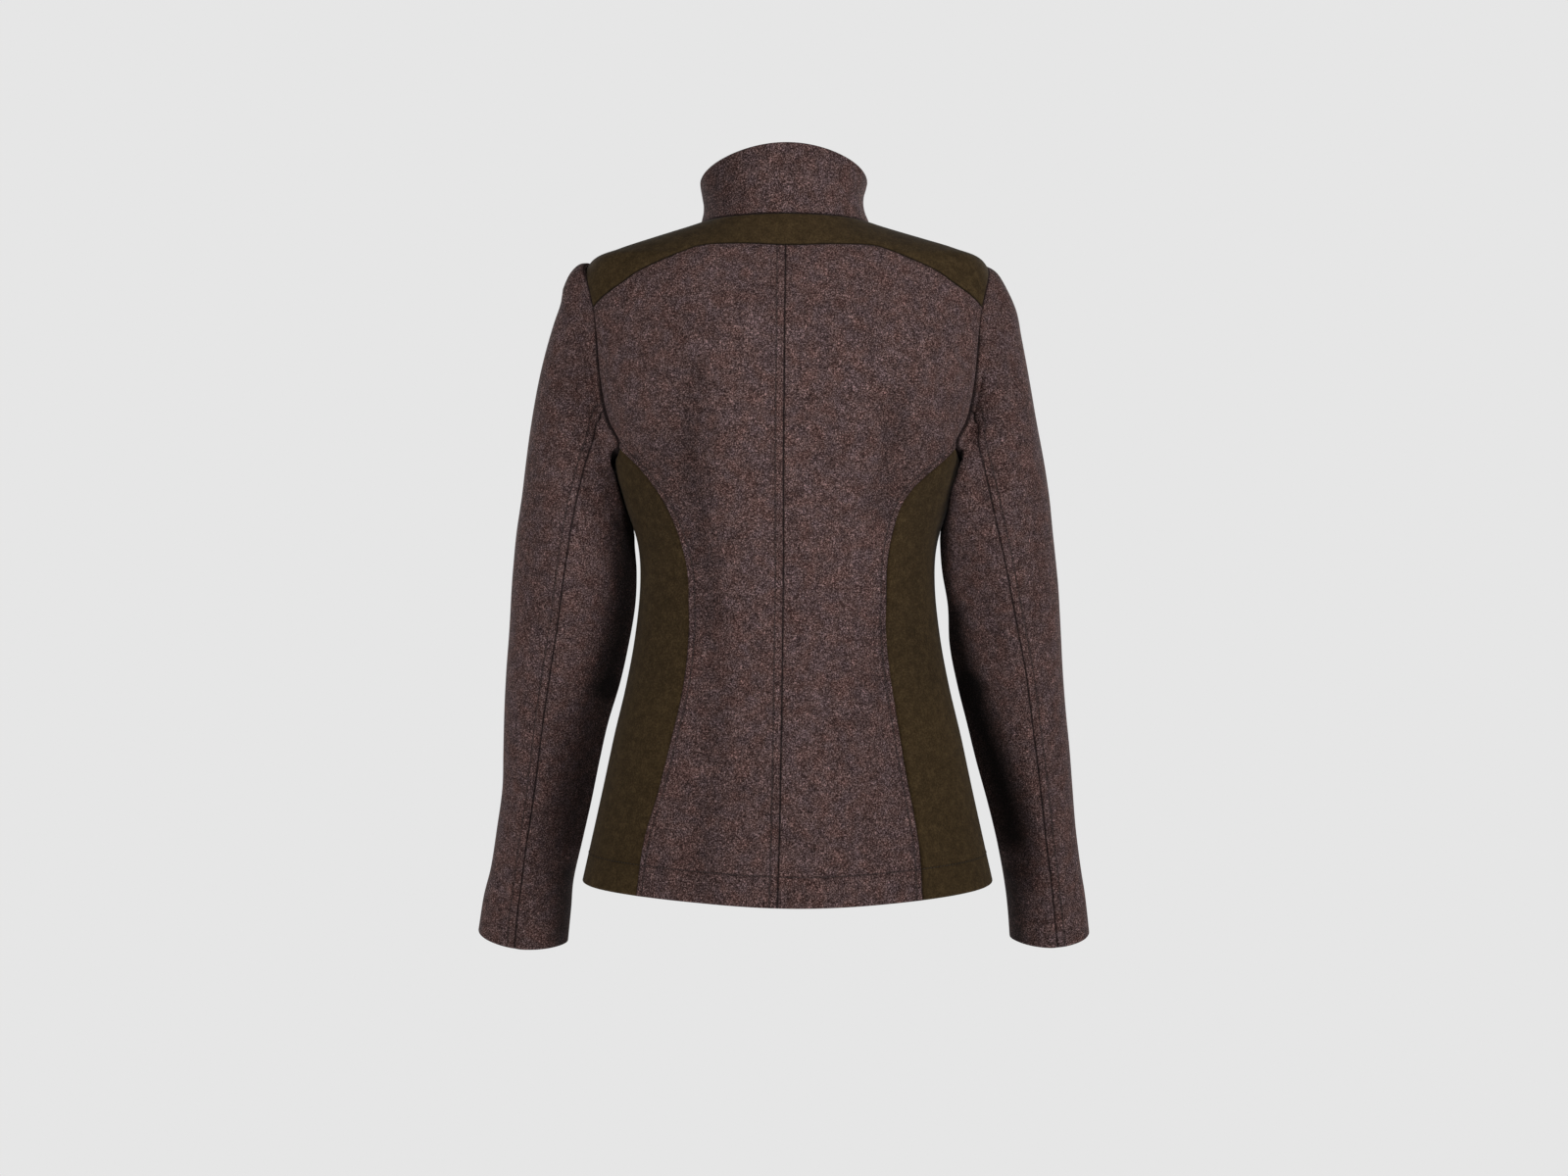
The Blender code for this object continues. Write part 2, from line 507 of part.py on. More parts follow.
def clear_of_body(points, clearance):
    """A sleeve's points, moved out where they would come too close to the body."""
    angles = np.arctan2(points[:, 0], points[:, 1])
    low, high = np.full(len(points), HEM_LEVEL), np.full(len(points), TIP_LEVEL)
    for _ in range(HALVINGS):
        level = (low + high) / 2
        below = body(np.stack([angles, level], axis=-1))[:, 2] < points[:, 2]
        low, high = np.where(below, level, low), np.where(below, high, level)
    near = body(np.stack([angles, low], axis=-1))
    have = np.hypot(points[:, 0], points[:, 1])
    least = np.hypot(near[:, 0], near[:, 1]) + clearance
    beside = points[:, 2] <= near[:, 2] + SLEEVE_BESIDE
    grown = np.where(beside & (have < least), least / have, 1.0)
    return points * np.stack([grown, grown, np.ones(len(points))], axis=-1)


def sleeve_rings(sign, armhole, places):
    """The sleeve's outer points, in closed rings from the armhole to the cuff."""
    points = body(armhole)
    tip, pit = points[0], points[np.argmin(points[:, 2])]
    high_y, low_y = points[:, 1].max(), points[:, 1].min()
    middle_y, half_y = (high_y + low_y) / 2, (high_y - low_y) / 2
    first = SleeveRow(abs(tip[0]), tip[2], abs(pit[0]), pit[2], middle_y, half_y, 0)
    table = [first] + (SLEEVE_LEFT if sign > 0 else SLEEVE_RIGHT)
    centre = np.array([first.outer_x + first.inner_x, first.outer_z + first.inner_z]) / 2
    axis = np.array([first.outer_x - first.inner_x, first.outer_z - first.inner_z]) / 2
    across = (np.stack([abs(points[:, 0]), points[:, 2]], axis=-1) - centre) @ axis / np.dot(axis, axis)
    turns = np.unwrap(np.arctan2((points[:, 1] - middle_y) / half_y, across))
    beyond_oval = points - sleeve_oval(table, 0, turns, sign)
    rings = [points]
    for k in range(1, len(table)):
        even = even_turns(places, table[k].hindarm)
        ease, keep = eased(k / SLEEVE_TURN_ROWS), 1 - eased(k / SLEEVE_HEAD_ROWS)
        ring = sleeve_oval(table, k, turns * (1 - ease) + even * ease, sign) + keep * beyond_oval
        rings.append(clear_of_body(ring, SLEEVE_CLEAR * min(k / SLEEVE_CLEAR_ROWS, 1.0)))
    return np.array(rings)


def ring_normals(rings):
    """Outward normals of closed rings, row by row."""
    round_it = np.roll(rings, -1, axis=1) - np.roll(rings, 1, axis=1)
    normals = unit(np.cross(round_it, np.gradient(rings, axis=0)))
    outward = np.sum(normals * (rings - rings.mean(axis=1, keepdims=True)))
    return normals if outward > 0 else -normals


# ---- the pieces --------------------------------------------------------------------------------
Half = namedtuple("Half", "side sign armhole places princess front_princess yoke_back neck lap yoke_front"
                          " sleeve sleeve_walls")


def make_half(side, centre):
    """Every seam of one half, and its sleeve."""
    sign = SIDES[side]
    armhole, places = armhole_steps(sign)
    hem_row = smooth(RINGS, HEM_LEVEL)
    back_foot = np.array([sign * angle_at(hem_row, "back", PRINCESS_HEM[side]), HEM_LEVEL])
    knots = seam_knots(PRINCESS_LEFT if side == "left" else PRINCESS_RIGHT, "back", sign)
    princess = along([back_foot] + knots[::-1] + [armhole[places[BACK_TIP]]], PANEL_ROWS)
    front_foot = np.array([sign * angle_at(hem_row, "front", FRONT_PRINCESS_HEM), HEM_LEVEL])
    knots = seam_knots(FRONT_PRINCESS, "front", sign)
    front_princess = along([front_foot] + knots[::-1] + [armhole[places[FRONT_TIP]]], PANEL_ROWS)
    knots = seam_knots(YOKE_BACK, "back", sign)
    yoke_back = along([centre[-1]] + knots[::-1] + [armhole[places[YOKE_AT_BACK]]], BACK_COLUMNS)
    neck = sign * neck_steps(front_line(LAP)[-1][0], yoke_back)
    yoke_neck = np.array([sign * YOKE_NECK_ANGLE, NECK_LEVEL])
    yoke_front = np.linspace(yoke_neck, armhole[places[YOKE_AT_FRONT]], FRONT_COLUMNS + 1)
    rings = sleeve_rings(sign, armhole, places)
    normals = ring_normals(rings)
    walls = -WALL * normals
    walls[0] = mitre(body_normal(armhole), normals[0])
    return Half(side, sign, armhole, places, princess, front_princess, yoke_back, neck, lap_strip(sign),
                yoke_front, rings, walls)


def dressed(grid, halves, lift=None):
    """A grid's outer points and wall vectors, mitred on the neck seam and the armholes."""
    walls = -WALL * body_normal(grid)
    on_neck = abs(grid[..., 1] - NECK_LEVEL) < SAME_SPOT
    walls[on_neck] = neck_walls(grid[on_neck][:, 0])
    for half in halves:
        apart = np.linalg.norm(grid[:, :, None] - half.armhole, axis=-1)
        on_armhole = apart.min(axis=-1) < SAME_SPOT
        walls[on_armhole] = half.sleeve_walls[0][apart.argmin(axis=-1)[on_armhole]]
    points = body(grid)
    if lift is not None:
        points = points - walls / WALL * lift[..., None]
    return points, walls


def add_back(half, centre):
    up_arm = half.armhole[stretch(half.places, YOKE_AT_BACK, BACK_TIP)][::-1]
    outside = np.concatenate([half.princess, up_arm[1:]])
    hem = np.linspace(centre[0], half.princess[0], BACK_COLUMNS + 1)
    grid = patch(centre, outside, hem, half.yoke_back)
    shell(f"back_{half.side}", [dressed(grid, [half])], TWEED)


def add_side(half):
    under = half.armhole[stretch(half.places, BACK_TIP, FRONT_TIP)]
    hem = np.linspace(half.princess[0], half.front_princess[0], len(under))
    grid = patch(half.princess, half.front_princess, hem, under)
    shell(f"side_{half.side}", [dressed(grid, [half])], OLIVE)


def add_front(half):
    """A front with its lap; the wearer's right one lies over the left. Returns the lap's points."""
    neck_run = half.neck[2:2 + NECK_FRONT_CELLS]
    neck_run = np.stack([neck_run, np.full(len(neck_run), NECK_LEVEL)], axis=1)
    inside = np.concatenate([half.lap[:, 2], neck_run])
    up_arm = half.armhole[stretch(half.places, FRONT_TIP, YOKE_AT_FRONT)]
    outside = np.concatenate([half.front_princess, up_arm[1:]])
    hem = np.linspace(inside[0], half.front_princess[0], FRONT_COLUMNS + 1)
    grid = patch(inside, outside, hem, half.yoke_front, FRONT_EASING)
    lap_lift, grid_lift = np.zeros(half.lap.shape[:2]), np.zeros(grid.shape[:2])
    if half.side == "right":
        lap_lift[:] = WALL + LAP_CLEAR
        grid_lift[:len(half.lap), 0] = WALL + LAP_CLEAR
    lap = dressed(half.lap, [half], lap_lift)
    shell(f"front_{half.side}", [lap, dressed(grid, [half], grid_lift)], TWEED)
    return lap[0]


def add_sleeve(half):
    """A sleeve in two pieces, parted at the hindarm and the forearm seam."""
    upper = stretch(half.places, FOREARM, HINDARM)
    under = stretch(half.places, HINDARM, FOREARM)
    for piece, columns in (("upper", upper), ("under", under)):
        grid = (half.sleeve[:, columns], half.sleeve_walls[:, columns])
        shell(f"sleeve_{piece}_{half.side}", [grid], TWEED, SLEEVE_DRAW_BACK)


def add_yoke(halves):
    """The yoke, from the left front seam over both shoulders to the right one."""
    over, inner = {}, {}
    for half in halves:
        shoulder = half.armhole[stretch(half.places, YOKE_AT_FRONT, YOKE_AT_BACK)]
        over[half.side] = np.concatenate([shoulder, half.yoke_back[::-1][1:]])
        inner[half.side] = half.neck[1 + NECK_FRONT_CELLS:]
    outer = np.concatenate([over["left"], over["right"][::-1][1:]])
    neck = np.concatenate([inner["left"], inner["right"][::-1][1:]])
    neck = np.stack([neck, np.full(len(neck), NECK_LEVEL)], axis=1)
    left, right = halves
    grid = patch(left.yoke_front[::-1], right.yoke_front[::-1], outer, neck)
    shell("yoke", [dressed(grid, halves)], OLIVE)


def add_collar(angles):
    """The stand collar, in columns above the neck seam's steps, its two ends parted in front."""
    neck = np.stack([angles, np.full(len(angles), NECK_LEVEL)], axis=1)
    rings = [section(ring, angles) for ring in COLLAR_RINGS]
    points = np.array([body(neck)] + rings)
    climb = np.linspace(0, 1, len(points))[:, None] ** 2
    spread = COLLAR_PARTING + (COLLAR_SPREAD - COLLAR_PARTING) * climb
    for end, beside in ((0, 1), (-1, -2)):
        points[:, end] += spread * unit(points[:, beside] - points[:, end])
    normals = unit(np.cross(np.gradient(points, axis=1), np.gradient(points, axis=0)))
    if np.sum(normals[..., :2] * points[..., :2]) < 0:
        normals = -normals
    walls = -COLLAR_WALL * normals
    walls[0] = neck_walls(angles)
    shell("collar", [(points, walls)], TWEED)


def seat_on(lap, z):
    """Where a button's flat back rests on the lap at the centre front, and its way out."""
    spots = []
    for x in np.linspace(-BUTTON_RADIUS, BUTTON_RADIUS, SEAT_STEPS):
        share = abs(x) / LAP
        line = lap[:, 1] * (1 - share) + lap[:, 0 if x > 0 else 2] * share
        heights = np.linspace(z - BUTTON_RADIUS, z + BUTTON_RADIUS, SEAT_STEPS)
        spots.append([[x, np.interp(h, line[:, 2], line[:, 1]), h] for h in heights])
    spots = np.array(spots)
    column = spots[SEAT_STEPS // 2]
    middle, climb = column[SEAT_STEPS // 2], column[-1] - column[0]
    out = unit(np.array([0.0, -climb[2], climb[1]]))
    rise = np.max((spots - middle) @ out)
    return middle + out * (rise + SEAM_GAP), out


def add_button(name, place, out):
    """A turned button with a raised rim, its back to the cloth."""
    shape = bmesh.new()
    verts = [shape.verts.new((turn.radius * BUTTON_RADIUS, 0, turn.height * BUTTON_THICKNESS))
             for turn in BUTTON_PROFILE]
    edges = [shape.edges.new(pair) for pair in zip(verts, verts[1:])]
    bmesh.ops.spin(shape, geom=verts + edges, cent=(0, 0, 0), axis=(0, 0, 1),
                   angle=2 * math.pi, steps=BUTTON_SIDES, use_merge=False)
    bmesh.ops.remove_doubles(shape, verts=shape.verts, dist=SAME_SPOT)
    made = add_object(name, shape, HORN)
    made.location = place
    made.rotation_mode = "QUATERNION"
    made.rotation_quaternion = Vector(out).to_track_quat("Z", "Y")


def build_jacket():
    knots = seam_knots(CENTRE_BACK, "back")
    centre = along(knots[::-1], CENTRE_ROWS)
    halves = [make_half(side, centre) for side in SIDES]
    for half in halves:
        add_back(half, centre)
        add_side(half)
        lap = add_front(half)
        add_sleeve(half)
    add_yoke(halves)
    left, right = halves
    add_collar(np.concatenate([left.neck, right.neck[::-1][1:]]))
    for k in range(BUTTONS):
        add_button(f"button_{k + 1}", *seat_on(lap, BUTTON_TOP_Z - k * BUTTON_PITCH))


for old in list(bpy.data.objects):
    bpy.data.objects.remove(old, do_unlink=True)
build_jacket()
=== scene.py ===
"""Looks of the tyrolean loden jacket: the cloth, its seams and stitching, the buttons, light and camera.

Metres, +Z up; the wearer faces -Y and their left side is +X. The body is one smooth surface, read at
(angle, level), and each piece of cloth is a thin shell on its solid's form, stepped finer than it.
"""
import math
from collections import namedtuple

import bmesh
import bpy
import numpy as np
from mathutils import Matrix, Vector


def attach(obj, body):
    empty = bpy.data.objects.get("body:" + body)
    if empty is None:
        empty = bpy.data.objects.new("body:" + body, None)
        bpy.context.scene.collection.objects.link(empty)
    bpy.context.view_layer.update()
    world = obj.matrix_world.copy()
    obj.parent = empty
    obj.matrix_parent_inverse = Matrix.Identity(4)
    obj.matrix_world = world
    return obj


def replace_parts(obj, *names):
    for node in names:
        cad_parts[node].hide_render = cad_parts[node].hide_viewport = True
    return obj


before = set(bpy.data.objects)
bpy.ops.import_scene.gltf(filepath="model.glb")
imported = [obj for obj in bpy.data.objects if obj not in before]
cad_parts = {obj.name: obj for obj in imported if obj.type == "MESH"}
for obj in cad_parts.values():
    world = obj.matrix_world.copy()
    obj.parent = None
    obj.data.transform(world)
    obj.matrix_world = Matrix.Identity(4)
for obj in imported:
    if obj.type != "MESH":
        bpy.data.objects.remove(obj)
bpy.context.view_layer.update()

FINE = 6  # each step of the solids is taken in this many

# ---- cloth ----
WALL = 0.003  # loden with its turned edges
COLLAR_WALL = 0.0045  # two layers of loden, stiffened
LAP_CLEAR = 0.0007  # between the two lapped fronts
SLEEVE_CLEAR = 0.002  # a sleeve hangs this clear of the body
SLEEVE_BESIDE = 0.010  # up to this far above the body's surface it still counts as beside it
LEAST_MITRE = 0.45  # cosine that caps how far a wall is lengthened where two pieces bend at a seam

# ---- the body: one row for each level, from the hem up to the neck seam ----
# fullness: the power of its oval; shift: how far its middle is to the wearer's left;
# dip: how far round from the centre back, in radians, its back hangs lowest or stands highest;
# arch: the power of the cosine that carries its height from the back to the side.
Ring = namedtuple("Ring", "z_back z_side z_front half_width back front fullness shift dip arch",
                  defaults=[2.0])
RINGS = [
    Ring(-0.635, -0.6250, -0.640, 0.1940, 0.1270, 0.1300, 2.30, 0.0000, -0.10),  # hem
    Ring(-0.586, -0.5815, -0.589, 0.1842, 0.1235, 0.1260, 2.30, 0.0000, -0.10),
    Ring(-0.537, -0.5350, -0.539, 0.1739, 0.1190, 0.1210, 2.30, 0.0000, -0.09),
    Ring(-0.489, -0.4885, -0.490, 0.1640, 0.1125, 0.1150, 2.30, 0.0000, -0.08),
    Ring(-0.442, -0.4420, -0.442, 0.1530, 0.1045, 0.1085, 2.30, 0.0000, -0.07),
    Ring(-0.396, -0.3960, -0.396, 0.1445, 0.0965, 0.1030, 2.35, 0.0000, -0.05),
    Ring(-0.347, -0.3470, -0.347, 0.1395, 0.0905, 0.1010, 2.40, 0.0000, 0.00),  # waist
    Ring(-0.308, -0.3080, -0.308, 0.1415, 0.0955, 0.1080, 2.45, 0.0000, 0.00),
    Ring(-0.268, -0.2700, -0.270, 0.1535, 0.1055, 0.1170, 2.50, 0.0000, 0.00),
    Ring(-0.228, -0.2360, -0.235, 0.1635, 0.1150, 0.1220, 2.60, 0.0000, 0.00),  # armpit
    Ring(-0.188, -0.1860, -0.205, 0.1755, 0.1185, 0.1190, 2.65, 0.0000, 0.00),
    Ring(-0.145, -0.1300, -0.175, 0.1885, 0.1165, 0.1120, 2.50, 0.0000, 0.00),
    Ring(-0.100, -0.0720, -0.146, 0.1970, 0.1085, 0.1030, 2.35, 0.0000, 0.00),
    Ring(-0.062, -0.0425, -0.122, 0.1860, 0.0970, 0.0945, 2.50, 0.0000, 0.00),  # shoulder tip
    Ring(-0.049, -0.0312, -0.113, 0.1620, 0.0915, 0.0905, 2.50, 0.0000, 0.00),
    Ring(-0.036, -0.0216, -0.105, 0.1330, 0.0855, 0.0865, 2.40, 0.0005, -0.03),
    Ring(-0.016, -0.0100, -0.092, 0.0960, 0.0765, 0.0795, 2.15, 0.0010, -0.10),
    Ring(-0.005, -0.0050, -0.085, 0.0805, 0.0715, 0.0755, 2.05, 0.0020, -0.15),  # neck seam
]
HEM_LEVEL = 0.0
ARMPIT_LEVEL = 9.0
TIP_LEVEL = 13.0
NECK_LEVEL = 17.0

# The collar's rings above the neck seam, in the same columns.
COLLAR_RINGS = [
    Ring(0.010, 0.0050, -0.070, 0.0768, 0.0695, 0.0735, 2.05, 0.0030, -0.12, 1.8),
    Ring(0.027, 0.0150, -0.052, 0.0757, 0.0690, 0.0730, 2.10, 0.0038, -0.09, 1.6),
    Ring(0.044, 0.0255, -0.036, 0.0772, 0.0695, 0.0740, 2.15, 0.0040, -0.06, 1.5),
    Ring(0.060, 0.0350, -0.021, 0.0795, 0.0705, 0.0755, 2.20, 0.0035, -0.04, 1.4),  # rim
]
COLLAR_PARTING = 0.0006  # half the space between its two ends at the seam
COLLAR_SPREAD = 0.0060  # half the space between its two ends at the rim

# Soft relief on the body: a dome or a trough, by its middle, its reach and its height.
Relief = namedtuple("Relief", "side x z reach_x reach_z height")
RELIEFS = [
    Relief("front", 0.082, -0.262, 0.037, 0.052, 0.0110),  # bust, wearer's left
    Relief("front", -0.082, -0.262, 0.037, 0.052, 0.0110),
    Relief("back", 0.078, -0.135, 0.045, 0.050, 0.0035),  # shoulder blades
    Relief("back", -0.078, -0.135, 0.045, 0.050, 0.0035),
    Relief("back", 0.087, -0.222, 0.012, 0.034, -0.0030),  # hollows above the waist
    Relief("back", -0.093, -0.216, 0.012, 0.030, -0.0030),
    Relief("back", 0.004, -0.330, 0.018, 0.060, -0.0025),  # small of the back
]
RELIEF_FADE = 3.0  # how fast the relief fades out towards the sides

# ---- seams on the body: (x from the centre, z) ----
CENTRE_BACK = [(0.0022, -0.036), (0.0031, -0.155), (0.0042, -0.367), (0.0057, -0.484), (0.0077, -0.582),
               (0.0094, -0.6349)]
# Back princess seams, from the armhole down to the hem.
PRINCESS = {
    "left": [(0.1340, -0.241), (0.1110, -0.274), (0.0965, -0.312), (0.0905, -0.358), (0.0903, -0.394),
             (0.0965, -0.447), (0.1155, -0.527), (0.1300, -0.577)],
    "right": [(0.1270, -0.246), (0.1060, -0.270), (0.0940, -0.306), (0.0903, -0.349), (0.0903, -0.385),
              (0.0945, -0.434), (0.1050, -0.505), (0.1180, -0.577)],
}
PRINCESS_HEM = {"left": 0.1370, "right": 0.1215}
FRONT_PRINCESS = [(0.1320, -0.236), (0.1120, -0.270), (0.1000, -0.310), (0.0950, -0.355), (0.0980, -0.420),
                  (0.1080, -0.510), (0.1180, -0.580)]
FRONT_PRINCESS_HEM = 0.1260
YOKE_BACK = [(0.1565, -0.0722), (0.1375, -0.0600), (0.1075, -0.0466), (0.0930, -0.0405), (0.0810, -0.0362),
             (0.0640, -0.0345), (0.0350, -0.0345)]
YOKE_NECK_ANGLE = math.radians(118)  # where the yoke's front seams meet the neck seam

# The armhole, from the shoulder tip down the back, under the arm and up the front.
Armhole = namedtuple("Armhole", "side x z cells")  # cells: the steps to the next row
ARMHOLE = [
    Armhole("tip", 0.1860, -0.0405, 3),
    Armhole("back", 0.1805, -0.0900, 5),  # 1: yoke seam at the back
    Armhole("back", 0.1690, -0.1840, 2),  # 2: hindarm seam
    Armhole("back", 0.1555, -0.2190, 3),  # 3: back princess seam
    Armhole("armpit", 0.1635, -0.2360, 3),
    Armhole("front", 0.1530, -0.2150, 2),  # 5: front princess seam
    Armhole("front", 0.1560, -0.1800, 5),  # 6: forearm seam
    Armhole("front", 0.1720, -0.0860, 3),  # 7: yoke seam at the front
]
YOKE_AT_BACK, HINDARM, BACK_TIP, FRONT_TIP, FOREARM, YOKE_AT_FRONT = 1, 2, 3, 5, 6, 7

# ---- the fronts ----
LAP = 0.025  # each front runs this far past the centre front
BUTTONS = 6
BUTTON_RADIUS = 0.011
BUTTON_THICKNESS = 0.0035
BUTTON_SIDES = 24
Turn = namedtuple("Turn", "radius height")  # a button's profile, in shares of its radius and thickness
BUTTON_PROFILE = [Turn(0, 0), Turn(0.86, 0), Turn(1, 0.4), Turn(0.96, 0.85), Turn(0.9, 1), Turn(0.74, 0.72),
                  Turn(0, 0.62)]

# ---- the sleeves ----
# One row from the armhole down: its outer and inner contour, where its middle lies in y, half its depth in y,
# and, in degrees round it from its outer side, where the hindarm seam lies.
SleeveRow = namedtuple("SleeveRow", "outer_x outer_z inner_x inner_z y half_depth hindarm")
SLEEVES = {
    "left": [
        (0.1990, -0.0520, 0.1640, -0.2375, -0.008, 0.062, 118),
        (0.2140, -0.0821, 0.1650, -0.2405, -0.007, 0.063, 114),
        (0.2245, -0.1118, 0.1600, -0.2450, -0.006, 0.063, 109),
        (0.2343, -0.1490, 0.1540, -0.2500, -0.004, 0.062, 104),
        (0.2418, -0.1880, 0.1500, -0.2580, -0.002, 0.061, 100),
        (0.2476, -0.2280, 0.1470, -0.2700, 0.000, 0.060, 97),
        (0.2515, -0.2625, 0.1455, -0.2870, 0.002, 0.058, 93),
        (0.2562, -0.2960, 0.1450, -0.3080, 0.004, 0.056, 90),
        (0.2590, -0.3258, 0.1430, -0.3340, 0.005, 0.055, 86),
        (0.2609, -0.3500, 0.1443, -0.3666, 0.005, 0.054, 83),
        (0.2637, -0.3890, 0.1507, -0.4030, 0.000, 0.053, 81),
        (0.2672, -0.4255, 0.1595, -0.4404, -0.006, 0.051, 80),
        (0.2700, -0.4632, 0.1713, -0.4781, -0.013, 0.049, 80),
        (0.2720, -0.5021, 0.1802, -0.5153, -0.021, 0.047, 79),
        (0.2740, -0.5404, 0.1885, -0.5536, -0.029, 0.045, 77),
        (0.2802, -0.5790, 0.1978, -0.5923, -0.037, 0.043, 78),
        (0.2872, -0.6180, 0.2073, -0.6314, -0.046, 0.042, 81),
        (0.2951, -0.6474, 0.2104, -0.6608, -0.052, 0.041, 83),
        (0.3012, -0.6818, 0.2142, -0.6942, -0.058, 0.041, 85),
    ],
    "right": [
        (0.1990, -0.0520, 0.1640, -0.2375, -0.008, 0.062, 118),
        (0.2140, -0.0821, 0.1650, -0.2405, -0.007, 0.063, 116),
        (0.2208, -0.1118, 0.1600, -0.2450, -0.006, 0.063, 113),
        (0.2282, -0.1490, 0.1540, -0.2500, -0.004, 0.062, 107),
        (0.2352, -0.1880, 0.1500, -0.2580, -0.002, 0.061, 103),
        (0.2427, -0.2280, 0.1470, -0.2700, 0.000, 0.060, 101),
        (0.2478, -0.2625, 0.1455, -0.2870, 0.002, 0.058, 98),
        (0.2509, -0.2960, 0.1450, -0.3080, 0.004, 0.056, 93),
        (0.2539, -0.3258, 0.1468, -0.3340, 0.005, 0.055, 89),
        (0.2562, -0.3500, 0.1520, -0.3666, 0.005, 0.053, 86),
        (0.2590, -0.3890, 0.1539, -0.4030, 0.000, 0.052, 79),
        (0.2616, -0.4255, 0.1614, -0.4404, -0.006, 0.050, 76),
        (0.2653, -0.4632, 0.1713, -0.4781, -0.013, 0.048, 76),
        (0.2701, -0.5021, 0.1810, -0.5153, -0.021, 0.046, 77),
        (0.2740, -0.5404, 0.1921, -0.5536, -0.029, 0.044, 79),
        (0.2781, -0.5790, 0.2021, -0.5923, -0.037, 0.042, 81),
        (0.2841, -0.6180, 0.2101, -0.6314, -0.046, 0.041, 83),
        (0.2894, -0.6474, 0.2143, -0.6608, -0.052, 0.040, 85),
        (0.2942, -0.6838, 0.2170, -0.6898, -0.058, 0.040, 85),
    ],
}
# At the back of its inner side, facing the body, a row is pressed flat: the power of its oval there.
Pressed = namedtuple("Pressed", "row left right")
PRESSED_INNER = [Pressed(0, 2.0, 2.0), Pressed(3, 2.0, 2.3), Pressed(5, 1.7, 2.8), Pressed(7, 1.45, 2.6),
                 Pressed(8.5, 1.38, 1.7), Pressed(10, 1.30, 1.30), Pressed(15, 1.25, 1.25),
                 Pressed(16.2, 1.25, 1.25), Pressed(16.9, 1.5, 1.5), Pressed(19, 1.6, 1.6)]
FOREARM_DEGREES = -118  # and where the forearm seam lies
SLEEVE_HEAD_ROWS = 6  # over these rows the armhole's shape eases into the sleeve's
SLEEVE_TURN_ROWS = 7  # over these the columns even out
SLEEVE_CLEAR_ROWS = 2  # and over these it comes to stand clear of the body
SLEEVE_LEAN_ROWS = 4  # after the head, over these its rows tip forward with the arm
SLEEVE_SQUARE = 3.0  # how square the inner half is where it lies against the body
SLEEVE_PRESSED_ROW = 6  # the row where it is squarest
SLEEVE_PRESSED_REACH = 5  # and how many rows from there it is an oval again

# ---- how finely the panels are stepped ----
BACK_COLUMNS = 8 * FINE
FRONT_COLUMNS = 7 * FINE
PANEL_ROWS = 14 * FINE  # from the hem to the armhole
CENTRE_ROWS = 21 * FINE  # from the hem to the yoke, up the centre back
FRONT_EDGE_ROWS = 17 * FINE  # from the hem to the neck, up the front edge
NECK_FRONT_CELLS = 4 * FINE  # along the neck, from the lap to the yoke
NECK_TIP_CELLS = 3 * FINE  # along the neck, from the yoke's front seam to above the shoulder tip
NECK_BACK_CELLS = 3 * FINE  # and on to above the yoke's back corner
NECK_TIP_ANGLE = math.radians(95)
NECK_BACK_ANGLE = math.radians(70)
DIRECTION_STEP = 0.01  # of angle or level, to either side, for the surface's directions
SAME_SPOT = 1e-6  # steps of two seams this close are one and the same
CURVE_STEPS = 16  # a seam's length is measured in this many steps a knot
HALVINGS = 40  # rounds of halving that solve a height for its level

SIDES = {"left": 1, "right": -1}


# ---- the body surface ----
def smooth(rows, level):
    """A Catmull-Rom curve through the rows of a table, one unit of level a row."""
    rows = np.asarray(rows, float)
    rows = np.concatenate([[2 * rows[0] - rows[1]], rows, [2 * rows[-1] - rows[-2]]])
    level = np.asarray(level, float)
    i = np.clip(level.astype(int), 0, len(rows) - 4)
    f = (level - i)[..., None]
    before, a, b, after = (rows[i + k] for k in range(4))
    return a + 0.5 * f * (b - before + f * (2 * before - 5 * a + 4 * b - after
                                            + f * (3 * (a - b) + after - before)))


def section(rows, angle):
    """The points of rings at their angles."""
    ring = Ring(*np.moveaxis(np.asarray(rows, float), -1, 0))
    s, c = np.sin(angle), np.cos(angle)
    depth = np.where(c > 0, ring.back, ring.front)
    toward = np.cos(angle - ring.dip)
    z_end = np.where(toward > 0, ring.z_back, ring.z_front)
    n = ring.fullness
    reach = (abs(s / ring.half_width) ** n + abs(c / depth) ** n) ** (-1 / n)
    rise = abs(toward) ** ring.arch
    return np.stack([ring.shift + reach * s, reach * c, ring.z_side + (z_end - ring.z_side) * rise], axis=-1)


def relief(points):
    """How far the soft relief lifts points of the body."""
    x, y, z = np.moveaxis(points, -1, 0)
    lift = np.zeros(x.shape)
    for r in RELIEFS:
        facing = y > 0 if r.side == "back" else y <= 0
        lift += facing * r.height * np.exp(-((x - r.x) / r.reach_x) ** 2 - ((z - r.z) / r.reach_z) ** 2)
    return lift


def body(spots):
    """The body's outer surface at spots of (angle, level)."""
    angle, level = np.moveaxis(np.asarray(spots, float), -1, 0)
    points = section(smooth(RINGS, level), angle)
    out = np.stack([np.sin(angle), np.cos(angle), np.zeros(angle.shape)], axis=-1)
    fade = np.minimum(1.0, abs(np.cos(angle)) * RELIEF_FADE)
    return points + out * (relief(points) * fade)[..., None]


def unit(vectors):
    return vectors / np.linalg.norm(vectors, axis=-1, keepdims=True)


def body_normal(spots):
    """The outward normals of the body's surface."""
    spots = np.asarray(spots, float)
    aside, above = np.array([DIRECTION_STEP, 0]), np.array([0, DIRECTION_STEP])
    low_end, high_end = (-np.inf, HEM_LEVEL), (np.inf, NECK_LEVEL)
    round_it = body(spots + aside) - body(spots - aside)
    up_it = body(np.minimum(spots + above, high_end)) - body(np.maximum(spots - above, low_end))
    return unit(np.cross(up_it, round_it))


